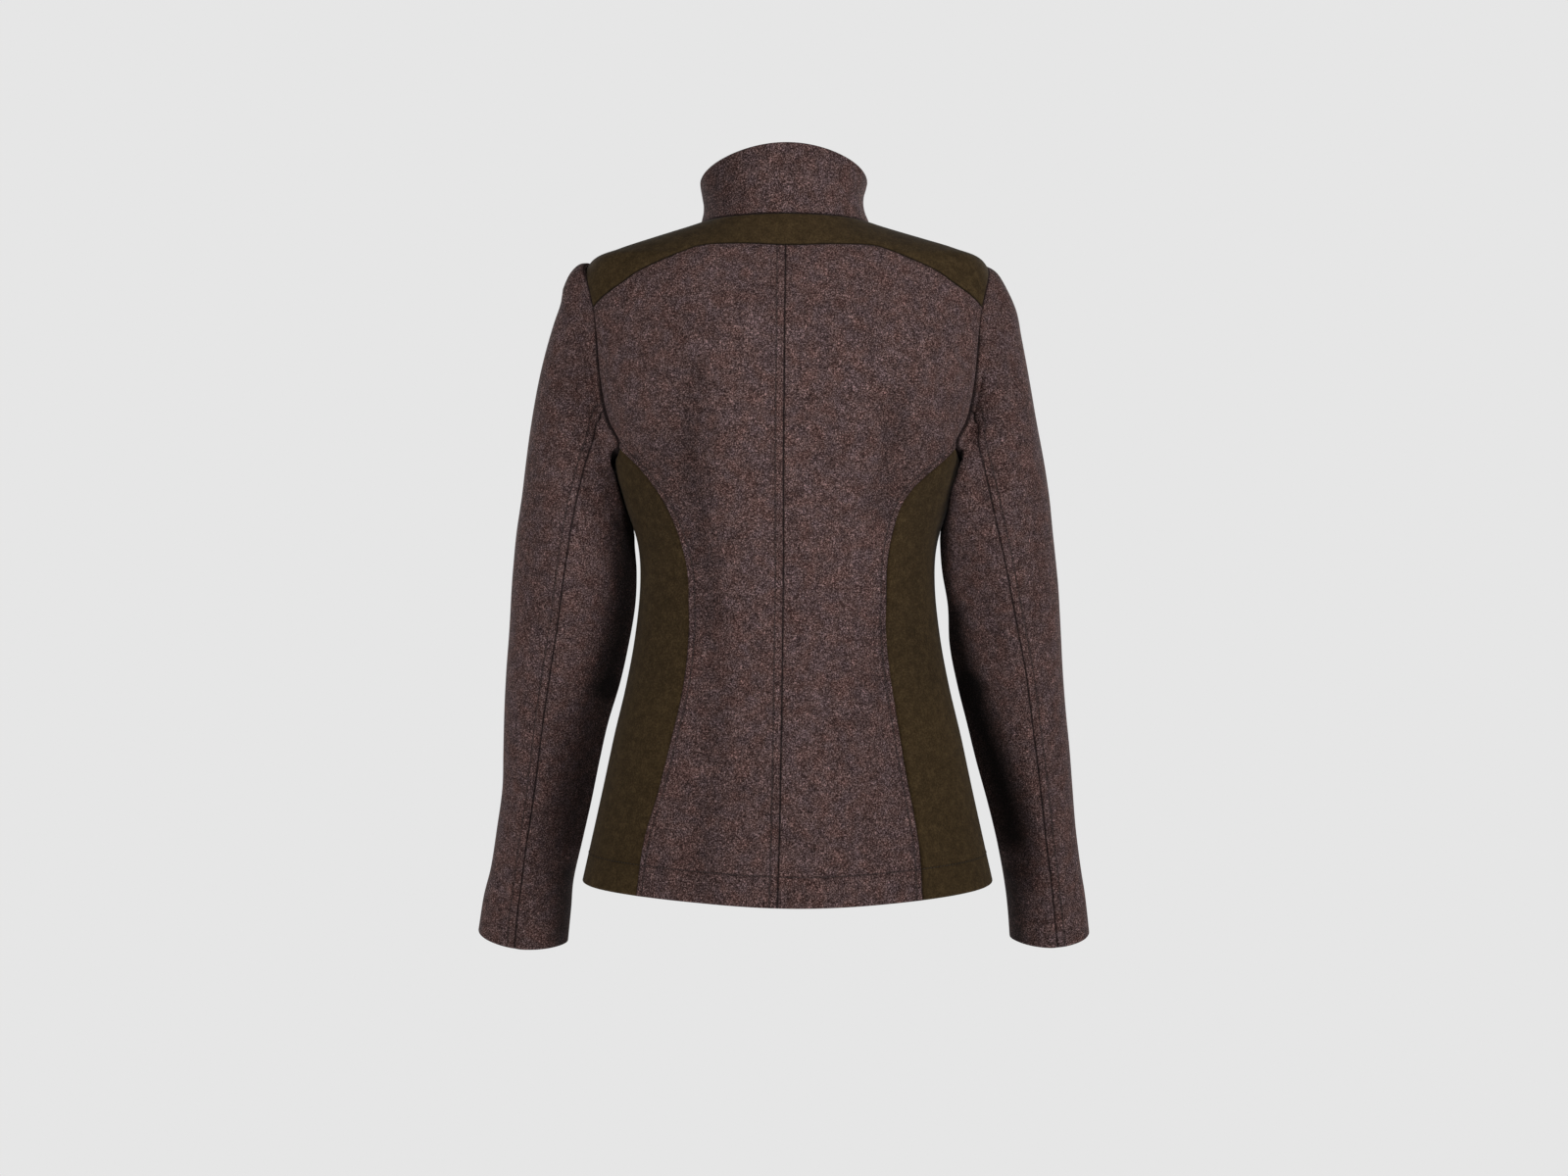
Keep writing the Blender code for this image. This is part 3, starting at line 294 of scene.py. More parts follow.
def angle_at(row, where, x):
    """The angle at which a ring is x from its middle, at the back or the front."""
    ring = Ring(*row)
    depth = ring.back if where == "back" else -ring.front
    share = min(abs(x - ring.shift) / ring.half_width, 1.0)
    y = depth * (1 - share ** ring.fullness) ** (1 / ring.fullness)
    return math.atan2(x - ring.shift, y)


def on_body(where, x, z):
    """The (angle, level) of the body's point at x and z, at the back or the front."""
    low, high = HEM_LEVEL, NECK_LEVEL
    for _ in range(HALVINGS):
        level = (low + high) / 2
        row = smooth(RINGS, level)
        if section(row, angle_at(row, where, x))[2] < z:
            low = level
        else:
            high = level
    return np.array([angle_at(smooth(RINGS, low), where, x), low])


def seam_knots(table, where, sign=1):
    """A seam's table as knots of (angle, level), on one half."""
    return [on_body(where, x, z) * (sign, 1) for x, z in table]


def along(knots, cells):
    """Even steps, by length on the body, along a smooth curve through knots of (angle, level)."""
    fine = smooth(knots, np.linspace(0, len(knots) - 1, CURVE_STEPS * len(knots)))
    length = np.concatenate([[0], np.cumsum(np.linalg.norm(np.diff(body(fine), axis=0), axis=1))])
    wanted = np.linspace(0, length[-1], cells + 1)
    return np.stack([np.interp(wanted, length, fine[:, k]) for k in (0, 1)], axis=1)


def patch(left, right, bottom, top):
    """A grid of (angle, level) between four edges that share their corners: rows go up."""
    v = np.linspace(0, 1, len(left))[:, None, None]
    u = np.linspace(0, 1, len(bottom))[None, :, None]
    corners = ((1 - u) * (1 - v) * bottom[0] + u * (1 - v) * bottom[-1]
               + (1 - u) * v * top[0] + u * v * top[-1])
    return ((1 - u) * left[:, None] + u * right[:, None] + (1 - v) * bottom[None] + v * top[None]
            - corners)


def mitre(normals, others):
    """The wall vectors where two pieces with these normals meet."""
    both = unit(normals + others)
    return -both * WALL / np.maximum(np.sum(both * normals, axis=-1, keepdims=True), LEAST_MITRE)


# ---- seams ----
def neck_spots(angles):
    """The neck seam's spots of (angle, level) at these angles."""
    return np.stack([angles, np.full(angles.shape, NECK_LEVEL)], axis=-1)


def neck_walls(angles):
    """The wall vectors on the neck seam, between the body and the collar."""
    neck_row, first_row = smooth(RINGS, NECK_LEVEL), COLLAR_RINGS[0]
    round_it = section(neck_row, angles + DIRECTION_STEP) - section(neck_row, angles - DIRECTION_STEP)
    up_it = section(first_row, angles) - section(neck_row, angles)
    return mitre(body_normal(neck_spots(angles)), unit(np.cross(up_it, round_it)))


def armhole_steps(sign):
    """The armhole's steps, from the shoulder tip round by the back, and each knot's place in them."""
    ends = {"tip": (math.pi / 2, TIP_LEVEL), "armpit": (math.pi / 2, ARMPIT_LEVEL)}
    knots = [np.array(ends[row.side]) if row.side in ends else on_body(row.side, row.x, row.z)
             for row in ARMHOLE]
    count = len(knots)
    ring = [knots[k % count] * (sign, 1) for k in range(-2, count + 3)]
    places = FINE * np.cumsum([0] + [row.cells for row in ARMHOLE])
    levels = [k + 2 + step / (FINE * row.cells) for k, row in enumerate(ARMHOLE)
              for step in range(FINE * row.cells)]
    return smooth(ring, np.array(levels)), places


def stretch(places, start, end):
    """The numbers of the armhole's steps from one knot to another, in its own direction."""
    count = places[-1]
    first, last = places[start], places[end]
    return [k % count for k in range(first, last + 1 if last > first else last + count + 1)]


def front_line(offset):
    """A line up the front, from the hem to the neck seam, this far from the centre front."""
    levels = np.linspace(HEM_LEVEL, NECK_LEVEL, FRONT_EDGE_ROWS + 1)
    rows = smooth(RINGS, levels)
    angles = [angle_at(row, "front", Ring(*row).shift + offset) for row in rows]
    return np.stack([angles, levels], axis=1)


def lap_strip(sign):
    """The grid of a front's lap, from past the centre front to its own side of it."""
    strip = np.stack([front_line(-sign * LAP), front_line(0.0), front_line(sign * LAP)], axis=1)
    strip[:, :, 0] += np.where(strip[:, :, 0] * sign < 0, 2 * math.pi * sign, 0)
    return strip


def neck_steps(lap_angle, yoke_back):
    """The angles of the neck seam's steps on one half, from the centre front to the centre back.

    Those at the back stand half way between even steps and the steps of the yoke's seam below."""
    below = abs(yoke_back[::-1, 0])
    below = NECK_BACK_ANGLE * (below - below[-1]) / (below[0] - below[-1])
    return np.concatenate([
        [math.pi],
        np.linspace(lap_angle, YOKE_NECK_ANGLE, NECK_FRONT_CELLS + 1),
        np.linspace(YOKE_NECK_ANGLE, NECK_TIP_ANGLE, NECK_TIP_CELLS + 1)[1:],
        np.linspace(NECK_TIP_ANGLE, NECK_BACK_ANGLE, NECK_BACK_CELLS + 1)[1:],
        ((below + np.linspace(NECK_BACK_ANGLE, 0, BACK_COLUMNS + 1)) / 2)[1:],
    ])


# ---- sleeves ----
def eased(share):
    """0 to 1 with a soft start and end."""
    share = min(max(share, 0.0), 1.0)
    return share * share * (3 - 2 * share)


def sleeve_oval(table, k, turns, side):
    """Points of one sleeve row at these angles round it, from its outer side."""
    last = len(table) - 1
    before, row, after = (SleeveRow(*smooth(table, min(max(at, 0), last))) for at in (k - 1, k, k + 1))
    drop = (before.outer_z + before.inner_z - after.outer_z - after.inner_z) / 2
    lean = min(1.0, max(0, k - SLEEVE_HEAD_ROWS) / SLEEVE_LEAN_ROWS) * (before.y - after.y) / drop
    square = 2 + (SLEEVE_SQUARE - 2) * max(0.0, 1 - abs(k - SLEEVE_PRESSED_ROW) / SLEEVE_PRESSED_REACH)
    c, s = np.cos(turns), np.sin(turns)
    pressed = np.interp(k, [row.row for row in PRESSED_INNER], [getattr(row, side) for row in PRESSED_INNER])
    power = np.where(s > 0, pressed, square) if k > 0 else square
    reach = np.where(c < 0, (abs(c) ** power + abs(s) ** power) ** (-1 / power), 1.0)
    c, s = c * reach, s * reach
    x = (row.outer_x + row.inner_x) / 2 + c * (row.outer_x - row.inner_x) / 2
    z = (row.outer_z + row.inner_z) / 2 + c * (row.outer_z - row.inner_z) / 2
    return np.stack([SIDES[side] * x, row.y + s * row.half_depth, z - lean * s * row.half_depth], axis=-1)


def even_turns(places, hindarm):
    """The angle round the sleeve of each column, with both seams in their places."""
    count, hind, fore = places[-1], places[HINDARM], places[FOREARM]
    forearm, hindarm = math.radians(FOREARM_DEGREES), math.radians(hindarm)
    knots = [fore - count, hind, fore, hind + count]
    angles = [forearm, hindarm, forearm + 2 * math.pi, hindarm + 2 * math.pi]
    return np.interp(np.arange(count), knots, angles)


def clear_of_body(points, clearance):
    """A sleeve's points, moved out where they would come too close to the body."""
    angles = np.arctan2(points[:, 0], points[:, 1])
    low, high = np.full(len(points), HEM_LEVEL), np.full(len(points), TIP_LEVEL)
    for _ in range(HALVINGS):
        level = (low + high) / 2
        below = body(np.stack([angles, level], axis=-1))[:, 2] < points[:, 2]
        low, high = np.where(below, level, low), np.where(below, high, level)
    near = body(np.stack([angles, low], axis=-1))
    have = np.hypot(points[:, 0], points[:, 1])
    least = np.hypot(near[:, 0], near[:, 1]) + clearance
    beside = points[:, 2] <= near[:, 2] + SLEEVE_BESIDE
    grown = np.where(beside & (have < least), least / have, 1.0)
    return points * np.stack([grown, grown, np.ones(len(points))], axis=-1)


def sleeve_rings(side, armhole, places):
    """The sleeve's outer points, in closed rings from the armhole to the cuff."""
    points = body(armhole)
    tip, pit = points[0], points[np.argmin(points[:, 2])]
    high_y, low_y = points[:, 1].max(), points[:, 1].min()
    middle_y, half_y = (high_y + low_y) / 2, (high_y - low_y) / 2
    first = SleeveRow(abs(tip[0]), tip[2], abs(pit[0]), pit[2], middle_y, half_y, 0)
    table = [first] + SLEEVES[side]
    centre = np.array([first.outer_x + first.inner_x, first.outer_z + first.inner_z]) / 2
    axis = np.array([first.outer_x - first.inner_x, first.outer_z - first.inner_z]) / 2
    across = (np.stack([abs(points[:, 0]), points[:, 2]], axis=-1) - centre) @ axis / np.dot(axis, axis)
    turns = np.unwrap(np.arctan2((points[:, 1] - middle_y) / half_y, across))
    beyond_oval = points - sleeve_oval(table, 0, turns, side)
    rings = [points]
    for k in np.linspace(0, len(table) - 1, FINE * (len(table) - 1) + 1)[1:]:
        even = even_turns(places, smooth(table, max(k, 1))[-1])
        ease, keep = eased(k / SLEEVE_TURN_ROWS), 1 - eased(k / SLEEVE_HEAD_ROWS)
        ring = sleeve_oval(table, k, turns * (1 - ease) + even * ease, side) + keep * beyond_oval
        rings.append(clear_of_body(ring, SLEEVE_CLEAR * min(k / SLEEVE_CLEAR_ROWS, 1.0)))
    return np.array(rings)


def ring_normals(rings):
    """Outward normals of closed rings, row by row."""
    round_it = np.roll(rings, -1, axis=1) - np.roll(rings, 1, axis=1)
    normals = unit(np.cross(round_it, np.gradient(rings, axis=0)))
    outward = np.sum(normals * (rings - rings.mean(axis=1, keepdims=True)))
    return normals if outward > 0 else -normals


Half = namedtuple("Half", "side armhole places princess front_princess yoke_back neck lap yoke_front"
                          " sleeve sleeve_walls")


def make_half(side, centre):
    """Every seam of one half, and its sleeve."""
    sign = SIDES[side]
    armhole, places = armhole_steps(sign)

    def seam_up(foot, table, where, end, cells):
        return along([foot] + seam_knots(table, where, sign)[::-1] + [armhole[places[end]]], cells)

    def hem_spot(where, x):
        return np.array([sign * angle_at(smooth(RINGS, HEM_LEVEL), where, x), HEM_LEVEL])

    princess = seam_up(hem_spot("back", PRINCESS_HEM[side]), PRINCESS[side], "back", BACK_TIP, PANEL_ROWS)
    front_princess = seam_up(hem_spot("front", FRONT_PRINCESS_HEM), FRONT_PRINCESS, "front", FRONT_TIP,
                             PANEL_ROWS)
    yoke_back = seam_up(centre[-1], YOKE_BACK, "back", YOKE_AT_BACK, BACK_COLUMNS)
    neck = sign * neck_steps(front_line(LAP)[-1][0], yoke_back)
    yoke_front = np.linspace([sign * YOKE_NECK_ANGLE, NECK_LEVEL], armhole[places[YOKE_AT_FRONT]],
                             FRONT_COLUMNS + 1)
    rings = sleeve_rings(side, armhole, places)
    normals = ring_normals(rings)
    walls = -WALL * normals
    walls[0] = mitre(body_normal(armhole), normals[0])
    return Half(side, armhole, places, princess, front_princess, yoke_back, neck, lap_strip(sign),
                yoke_front, rings, walls)


# ---- how cloth is shaped at its edges, in metres ----
SEAM_ROUND = 0.0013  # two pieces roll into the seam between them
SEAM_SLOPE = 0.0006  # and lean towards it over a wider band
SEAM_REACH = 0.0070
ARMHOLE_DEEP = 0.0045  # under the arm, where the sleeve hangs from it, the armhole sinks this much more
ARMHOLE_LIP = 0.0018  # the body's cloth turns down into it over this far
ARMHOLE_REACH = 0.0060  # and the sleeve's over this far
ARMHOLE_DEEP_FROM = -0.100  # it starts to sink at this height
ARMHOLE_DEEP_OVER = 0.070  # and is this much lower at its deepest
ARMHOLE_SHADE = 0.0034  # there the seam's painted shade reaches this much further on the sleeve's side, as a painted shadow under the body's edge
LAP_RISE = 0.0011  # tweed stands proud of the olive cloth that it is sewn over
LAP_REACH = 0.010
LAP_CURVE = 1.5  # the power by which it comes down to the rest of its panel
LAP_ROUND = 0.0013
UNDER_DIP = 0.0017
UNDER_REACH = 0.0050
FOLD_ROUND = 0.0015  # a turned edge is a round fold
HEM_STITCH = 0.028  # rows of topstitching: from the hem, from a seam, from a lapped or turned edge
SEAM_STITCH = 0.0074
EDGE_STITCH = 0.0055
BORDER_STEPS = (0.0, 0.08, 0.18, 0.30, 0.48, 0.72)  # of the outermost step, so that edges come round
LAP_FINE = 7  # each of the two strips of a lap is taken in this many steps
LAP_STEPS = np.concatenate([np.array(BORDER_STEPS) / LAP_FINE, np.arange(1, 2 * LAP_FINE + 1) / LAP_FINE])
LAP_FADE = 0.020  # over this far from it the lap's lift fades out
COLLAR_PARTING_REACH = 0.02  # the collar's ends part over this far from each of them
COLLAR_END_STEPS = 6  # and move along a line that is felt over this many steps
CREASE_STEPS = 8  # a crease is followed in this many steps a knot
CREASE_FACING = 2.0  # its height fades out where the cloth turns to face less than 1 / this its own way
PAINTED_SHADE_FACING = 6.0  # its painted shade does so where the cloth faces more than 1 / this the other way
PAINTED_SHADE_PER_METRE = 60.0  # how much darker painted shade makes cloth for each metre that a fold is deep
# the most that painted shade darkens cloth, as a share of the way to its dark colour
PAINTED_SHADE_MOST = 0.92
FAR = 1.0  # the distance written where there is no edge or stitching to be near
WELD = 1e-5  # grids that share an edge are joined where their points are this close
ON_SEAM = 2e-5
LEAST = 1e-12


def border_steps(count):
    """Steps along one way of a grid, closer together at its two edges."""
    inner = np.arange(1, count - 1)
    return np.concatenate([BORDER_STEPS, inner, count - 1 - np.array(BORDER_STEPS[::-1])])


def resample(grid, rows, columns):
    """A grid's values at fractions of its rows and columns."""
    i = np.clip(rows.astype(int), 0, grid.shape[0] - 2)
    j = np.clip(columns.astype(int), 0, grid.shape[1] - 2)
    u, v = (rows - i)[:, None, None], (columns - j)[None, :, None]
    a, b = grid[i][:, j], grid[i][:, j + 1]
    c, d = grid[i + 1][:, j], grid[i + 1][:, j + 1]
    return (1 - u) * ((1 - v) * a + v * b) + u * ((1 - v) * c + v * d)


def line_steps(points, line):
    """For each step of a line: its number, how far along it the points lie, and how far from it."""
    for k, (start, end) in enumerate(zip(line[:-1], line[1:])):
        ahead = end - start
        share = np.clip((points - start) @ ahead / max(ahead @ ahead, LEAST), 0, 1)[..., None]
        yield k, share, np.linalg.norm(points - start - share * ahead, axis=-1)


def distance(points, line):
    """From each point to the nearest spot of a line of points."""
    best = np.full(points.shape[:-1], np.inf)
    for _, _, away in line_steps(points, line):
        best = np.minimum(best, away)
    return best


def rounding(d, radius):
    """How far a fold of this radius has turned in, at a distance from its edge."""
    near = np.clip(1 - d / radius, 0, 1)
    return radius * (1 - np.sqrt(1 - near ** 2))


Edge = namedtuple("Edge", "kind line")
ARMHOLE_REACHES = {"armhole": ARMHOLE_LIP, "sleeve head": ARMHOLE_REACH}


def armhole_depth(points):
    """0 at the height where the armhole is an ordinary seam, 1 where it is deepest."""
    return np.clip((ARMHOLE_DEEP_FROM - points[:, 2]) / ARMHOLE_DEEP_OVER, 0, 1)


def edge_profile(kind, d, points):
    """At a distance from an edge of this kind: how far the cloth rolls in, sinks and stands proud."""
    if kind == "fold":
        return rounding(d, FOLD_ROUND), 0, 0
    if kind == "over":
        return rounding(d, LAP_ROUND), 0, LAP_RISE * np.clip(1 - d / LAP_REACH, 0, 1) ** LAP_CURVE
    if kind == "under":
        return UNDER_DIP * np.clip(1 - d / UNDER_REACH, 0, 1) ** 2, 0, 0
    sink = SEAM_SLOPE * np.clip(1 - d / SEAM_REACH, 0, 1) ** 2
    if kind in ARMHOLE_REACHES:
        near = np.clip(1 - d / ARMHOLE_REACHES[kind], 0, 1) ** 2
        sink = sink + ARMHOLE_DEEP * armhole_depth(points) * near
    return rounding(d, SEAM_ROUND), sink, 0


def add_piece(name, mesh, look):
    """A smooth scene object from a mesh, riding the jacket."""
    mesh.shade_smooth()
    mesh.materials.append(look)
    made = bpy.data.objects.new(name, mesh)
    bpy.context.scene.collection.objects.link(made)
    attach(made, "root")
    return made


def as_mesh(name, shape):
    """A mesh of this name from a bmesh, which is then freed."""
    mesh = bpy.data.meshes.new(name)
    shape.to_mesh(mesh)
    shape.free()
    return mesh


def joined(name, verts, faces, look, slot):
    """One piece from the points and faces of many small ones."""
    mesh = bpy.data.meshes.new(name)
    mesh.from_pydata(np.asarray(verts).tolist(), [], faces)
    return add_piece(name, mesh, look)


def weld(grids):
    """Grids of (points, normals) as one surface: its points, normals, faces and each grid's numbers."""
    points, normals = (np.concatenate([grid[k].reshape(-1, 3) for grid in grids]) for k in (0, 1))
    _, first, number = np.unique(np.round(points / WELD), axis=0, return_index=True, return_inverse=True)
    number, quads, tables = number.reshape(-1), [], []
    for grid in grids:
        rows, columns = grid[0].shape[:2]
        index, number = number[:rows * columns].reshape(rows, columns), number[rows * columns:]
        tables.append(index)
        around = (index[:-1, :-1], index[:-1, 1:], index[1:, 1:], index[1:, :-1])
        quads += np.stack(around, axis=-1).reshape(-1, 4).tolist()
    return points[first], normals[first], quads, tables


def shell(name, outer, inner, quads):
    """A closed mesh of an outer and an inner skin with the same faces, joined round their edges."""
    count = len(outer)
    directed = {(quad[k], quad[(k + 1) % 4]) for quad in quads for k in range(4)}
    band = [(b, a, a + count, b + count) for a, b in directed if (b, a) not in directed]
    under = [tuple(k + count for k in reversed(quad)) for quad in quads]
    shape = bmesh.new()
    verts = [shape.verts.new(p) for p in np.concatenate([outer, inner])]
    for face in quads + under + sorted(band):
        shape.faces.new([verts[k] for k in face])
    bmesh.ops.recalc_face_normals(shape, faces=shape.faces)
    if shape.calc_volume(signed=True) < 0:
        bmesh.ops.reverse_faces(shape, faces=shape.faces)
    return as_mesh(name, shape)


def cloth(name, grids, edges, loden, wall, stitched, on):
    """A thin closed shell over grids that share edges. Returns the piece and each grid's outer points.

    stitched: (line, offset) of each row of topstitching, which the cloth sinks into a little.
    on: the part of the jacket whose creases it has, whose painted shade goes into its colour."""
    points, normals, quads, tables = weld(grids)
    roll, inside, sink, proud = (np.zeros(len(points)) for _ in range(4))
    seam = np.full(len(points), FAR)
    for kind, line in edges:
        away = distance(points, line)
        rolled, sunk, stood = edge_profile(kind, away, points)
        roll, sink, proud = np.maximum(roll, rolled), np.maximum(sink, sunk), np.maximum(proud, stood)
        if kind == "fold":
            inside = np.maximum(inside, rolled)
        else:
            # the seam mark is where colour gets painted shade; under the arm it reaches onto the sleeve as a
            # painted shadow
            wide = ARMHOLE_SHADE * armhole_depth(points) if kind == "sleeve head" else 0
            seam = np.minimum(seam, np.maximum(away - wide, 0))
    outer = points + normals * (proud - roll - sink)[:, None]
    inner = points - normals * (wall - inside + sink)[:, None]
    mesh = shell(name, outer, inner, quads)
    made = add_piece(name, mesh, loden.look)
    # marks for the material: how far the seams are, for their painted shade, and the creases' painted shade
    marks = {"seam": seam, "hollow": crease_fields(points, normals, on)[1]}
    for letter, (line, offset) in zip("abc", stitched):
        marks[f"stitch_{letter}"] = distance(points, line) - offset
    for key in ("seam", "stitch_a", "stitch_b", "stitch_c", "hollow"):
        values = np.full(2 * len(points), 0.0 if key == "hollow" else FAR)
        values[:len(points)] = marks.get(key, FAR)
        mesh.attributes.new(key, "FLOAT", "POINT").data.foreach_set("value", values.astype(np.float32))
    return made, [outer[index] for index in tables]


def stitch_row(outer, normals, line, offset, along_rows, from_start):
    """Points and normals where a grid is first this far from a line, one for each row or column."""
    away = distance(outer, line)
    places, facing = [], []
    if not along_rows:
        outer, normals, away = (np.swapaxes(values, 0, 1) for values in (outer, normals, away))
    if not from_start:
        outer, normals, away = (values[:, ::-1] for values in (outer, normals, away))
    for p, n, d in zip(outer, normals, away):
        crossed = np.argmax(d > offset)
        if crossed == 0:
            continue
        share = (offset - d[crossed - 1]) / (d[crossed] - d[crossed - 1])
        places.append(p[crossed - 1] * (1 - share) + p[crossed] * share)
        facing.append(n[crossed - 1] * (1 - share) + n[crossed] * share)
    return np.array(places), unit(np.array(facing))


STITCH_PITCH = 0.0036
STITCH_LENGTH = 0.0028
STITCH_RADIUS = 0.00030
STITCH_SIDES = 6
# A stitch is a short thread that dips at both ends: where along it, how wide and how high, in shares.
STITCH_SHAPE = [(-0.5, 0.35, -0.9), (-0.32, 0.85, 0.15), (0.0, 1.0, 0.45), (0.32, 0.85, 0.15),
                (0.5, 0.35, -0.9)]


def together(parts):
    """Points and faces of many parts as one."""
    verts, faces, count = [], [], 0
    for points, around in parts:
        verts.append(points)
        faces += [tuple(k + count for k in face) for face in around]
        count += len(points)
    return np.concatenate(verts), faces


def stitch_faces():
    """The faces of one stitch, in rings of points from one end to the other."""
    last = (len(STITCH_SHAPE) - 1) * STITCH_SIDES
    around = [(base + k, base + (k + 1) % STITCH_SIDES) for base in range(0, last, STITCH_SIDES)
              for k in range(STITCH_SIDES)]
    return ([(a, a + STITCH_SIDES, b + STITCH_SIDES, b) for a, b in around]
            + [tuple(range(STITCH_SIDES)), tuple(last + k for k in reversed(range(STITCH_SIDES)))])


def add_stitches(name, rows, loden):
    """One mesh of all the stitches along rows of (points, normals)."""
    parts, faces = [], stitch_faces()
    turns = np.linspace(0, 2 * math.pi, STITCH_SIDES, endpoint=False)
    for places, facing in rows:
        length = np.concatenate([[0], np.cumsum(np.linalg.norm(np.diff(places, axis=0), axis=1))])

        def at(along_it, values):
            return np.array([np.interp(along_it, length, column) for column in values.T])

        for middle in np.arange(STITCH_PITCH, length[-1] - STITCH_PITCH / 2, STITCH_PITCH):
            centre, out = at(middle, places), unit(at(middle, facing))
            ahead = unit(at(middle + STITCH_LENGTH / 2, places) - at(middle - STITCH_LENGTH / 2, places))
            aside = unit(np.cross(out, ahead))
            rings = [(centre + ahead * run * STITCH_LENGTH + out * high * STITCH_RADIUS, wide * STITCH_RADIUS)
                     for run, wide, high in STITCH_SHAPE]
            parts.append(([ring + radius * (math.cos(turn) * aside + math.sin(turn) * out)
                           for ring, radius in rings for turn in turns], faces))
    return joined(name, *together(parts), loden.thread, loden.slot)


# ---- materials ----
def srgb(*shown):
    """A colour given as it is seen, from 0 to 255, as linear light, by the two parts of the sRGB curve."""
    return tuple(v / 255 / 12.92 if v <= 10.3 else ((v / 255 + 0.055) / 1.055) ** 2.4 for v in shown) + (1.0,)


class Nodes:
    """A new material's node tree, with short ways to add and link nodes."""

    def __init__(self, name, roughness, **sockets):
        self.material = bpy.data.materials.new(name)
        self.material.use_nodes = True
        self.tree = self.material.node_tree
        self.shader = self.tree.nodes["Principled BSDF"]
        self.shader.inputs["Roughness"].default_value = roughness
        for socket, value in sockets.items():
            self.shader.inputs[socket.replace("_", " ")].default_value = value

    def add(self, kind, inputs=(), **settings):
        node = self.tree.nodes.new(kind)
        for key, value in settings.items():
            setattr(node, key, value)
        for socket, value in dict(inputs).items():
            if isinstance(value, bpy.types.NodeSocket):
                self.tree.links.new(value, node.inputs[socket])
            else:
                node.inputs[socket].default_value = value
        return node

    def maths(self, operation, a, b=0.0, clamp=False):
        return self.add("ShaderNodeMath", {0: a, 1: b}, operation=operation, use_clamp=clamp).outputs[0]

    def ramp(self, value, stops):
        node = self.add("ShaderNodeValToRGB", {0: value})
        elements = node.color_ramp.elements
        while len(elements) < len(stops):
            elements.new(0.5)
        for element, (place, colour) in zip(elements, stops):
            element.position = place
            element.color = srgb(*colour)
        return node.outputs[0]

    def mix(self, share, a, b, blend="MIX"):
        return self.add("ShaderNodeMix", {0: share, 6: a, 7: b}, data_type="RGBA",
                        blend_type=blend).outputs[2]

    def place(self):
        return self.add("ShaderNodeTexCoord").outputs["Object"]

    def mark(self, name):
        """The value that the cloth carries under this name."""
        return self.add("ShaderNodeAttribute", attribute_name=name).outputs["Fac"]

    def noise(self, vector, scale, detail=2.0, roughness=0.5, distortion=0.0):
        return self.add("ShaderNodeTexNoise", {"Vector": vector, "Scale": scale, "Detail": detail,
                                               "Roughness": roughness, "Distortion": distortion}).outputs[0]

    def finish(self, colour, height, strength, depth):
        self.tree.links.new(colour, self.shader.inputs["Base Color"])
        bump = self.add("ShaderNodeBump", {"Strength": strength, "Distance": depth, "Height": height})
        self.tree.links.new(bump.outputs[0], self.shader.inputs["Normal"])
        return self.material


GROOVE_WIDTH = 0.0013
# how far the painted shade of a seam reaches from it
SEAM_WIDTH = 0.0016
PAINTED_SHADE_COLOUR = (12, 9, 9)


def stitch_groove(nodes):
    """1 along each row of topstitching, fading to 0 at the groove's width from it; the groove is sunk in
    relief and painted with shade.
    """
    grooves = []
    for letter in "abc":
        near = nodes.maths("DIVIDE", nodes.maths("ABSOLUTE", nodes.mark(f"stitch_{letter}")), GROOVE_WIDTH)
        grooves.append(nodes.maths("SUBTRACT", 1.0, near, clamp=True))
    return nodes.maths("MAXIMUM", grooves[0], nodes.maths("MAXIMUM", *grooves[1:]))


def seam_shade(nodes):
    """How much painted shade a seam gets: 1 in its bottom, fading to 0 at the seam's width from it."""
    return nodes.maths("SUBTRACT", 1.0, nodes.maths("DIVIDE", nodes.mark("seam"), SEAM_WIDTH), clamp=True)


def fold_shade(nodes, colour):
    """The colour, darkened by the creases' painted shade: in the hollows of the folds, at the waist's sides,
    on the collar and down the sleeves' inner sides.
    """
    return nodes.mix(nodes.maths("MINIMUM", nodes.mark("hollow"), PAINTED_SHADE_MOST), colour,
                     srgb(*PAINTED_SHADE_COLOUR))


# A fulled wool. fibre: the noise of its flecks or nap, as scale, detail, roughness, distortion; cloud: that
# of the softer clouds in them, which count by cloud_share. colours: from dark to pale. drift: the noise and
# the colours of a slow change of tint. groove, seam: how far the stitching's grooves and the seams are
# painted towards dark, as painted shade; dark: the colour of that painted shade. bump: how
# deep the stitching lies in its relief, and the relief's strength and depth.
Wool = namedtuple("Wool", "name roughness specular sheen_roughness fibre cloud cloud_share colours"
                          " drift groove seam dark bump")
TWEED_WOOL = Wool(
    name="tweed", roughness=0.95, specular=0.12, sheen_roughness=0.5,
    fibre=(820.0, 2.0, 0.75, 0.3), cloud=(110.0, 2.0, 0.5), cloud_share=0.12,
    colours=[(0.33, (38, 26, 25)), (0.44, (80, 60, 57)), (0.51, (108, 84, 81)), (0.58, (148, 120, 117)),
             (0.70, (216, 191, 188))],
    drift=((75.0, 2.0, 0.5), [(0.34, (126, 130, 137)), (0.5, (131, 130, 130)), (0.66, (138, 128, 124))]),
    groove=0.72, seam=0.9, dark=(26, 18, 18), bump=(1.2, 0.35, 0.0010))
OLIVE_WOOL = Wool(
    name="olive_wool", roughness=0.92, specular=0.15, sheen_roughness=0.45,
    fibre=(620.0, 3.0, 0.7), cloud=(130.0, 3.0, 0.6), cloud_share=0.6,
    colours=[(0.28, (48, 36, 18)), (0.5, (63, 49, 29)), (0.72, (82, 66, 42))], drift=None,
    groove=0.5, seam=0.85, dark=(16, 12, 8), bump=(1.5, 0.3, 0.0007))
SHEEN = 0.05
DRIFT_SHARE = 0.8


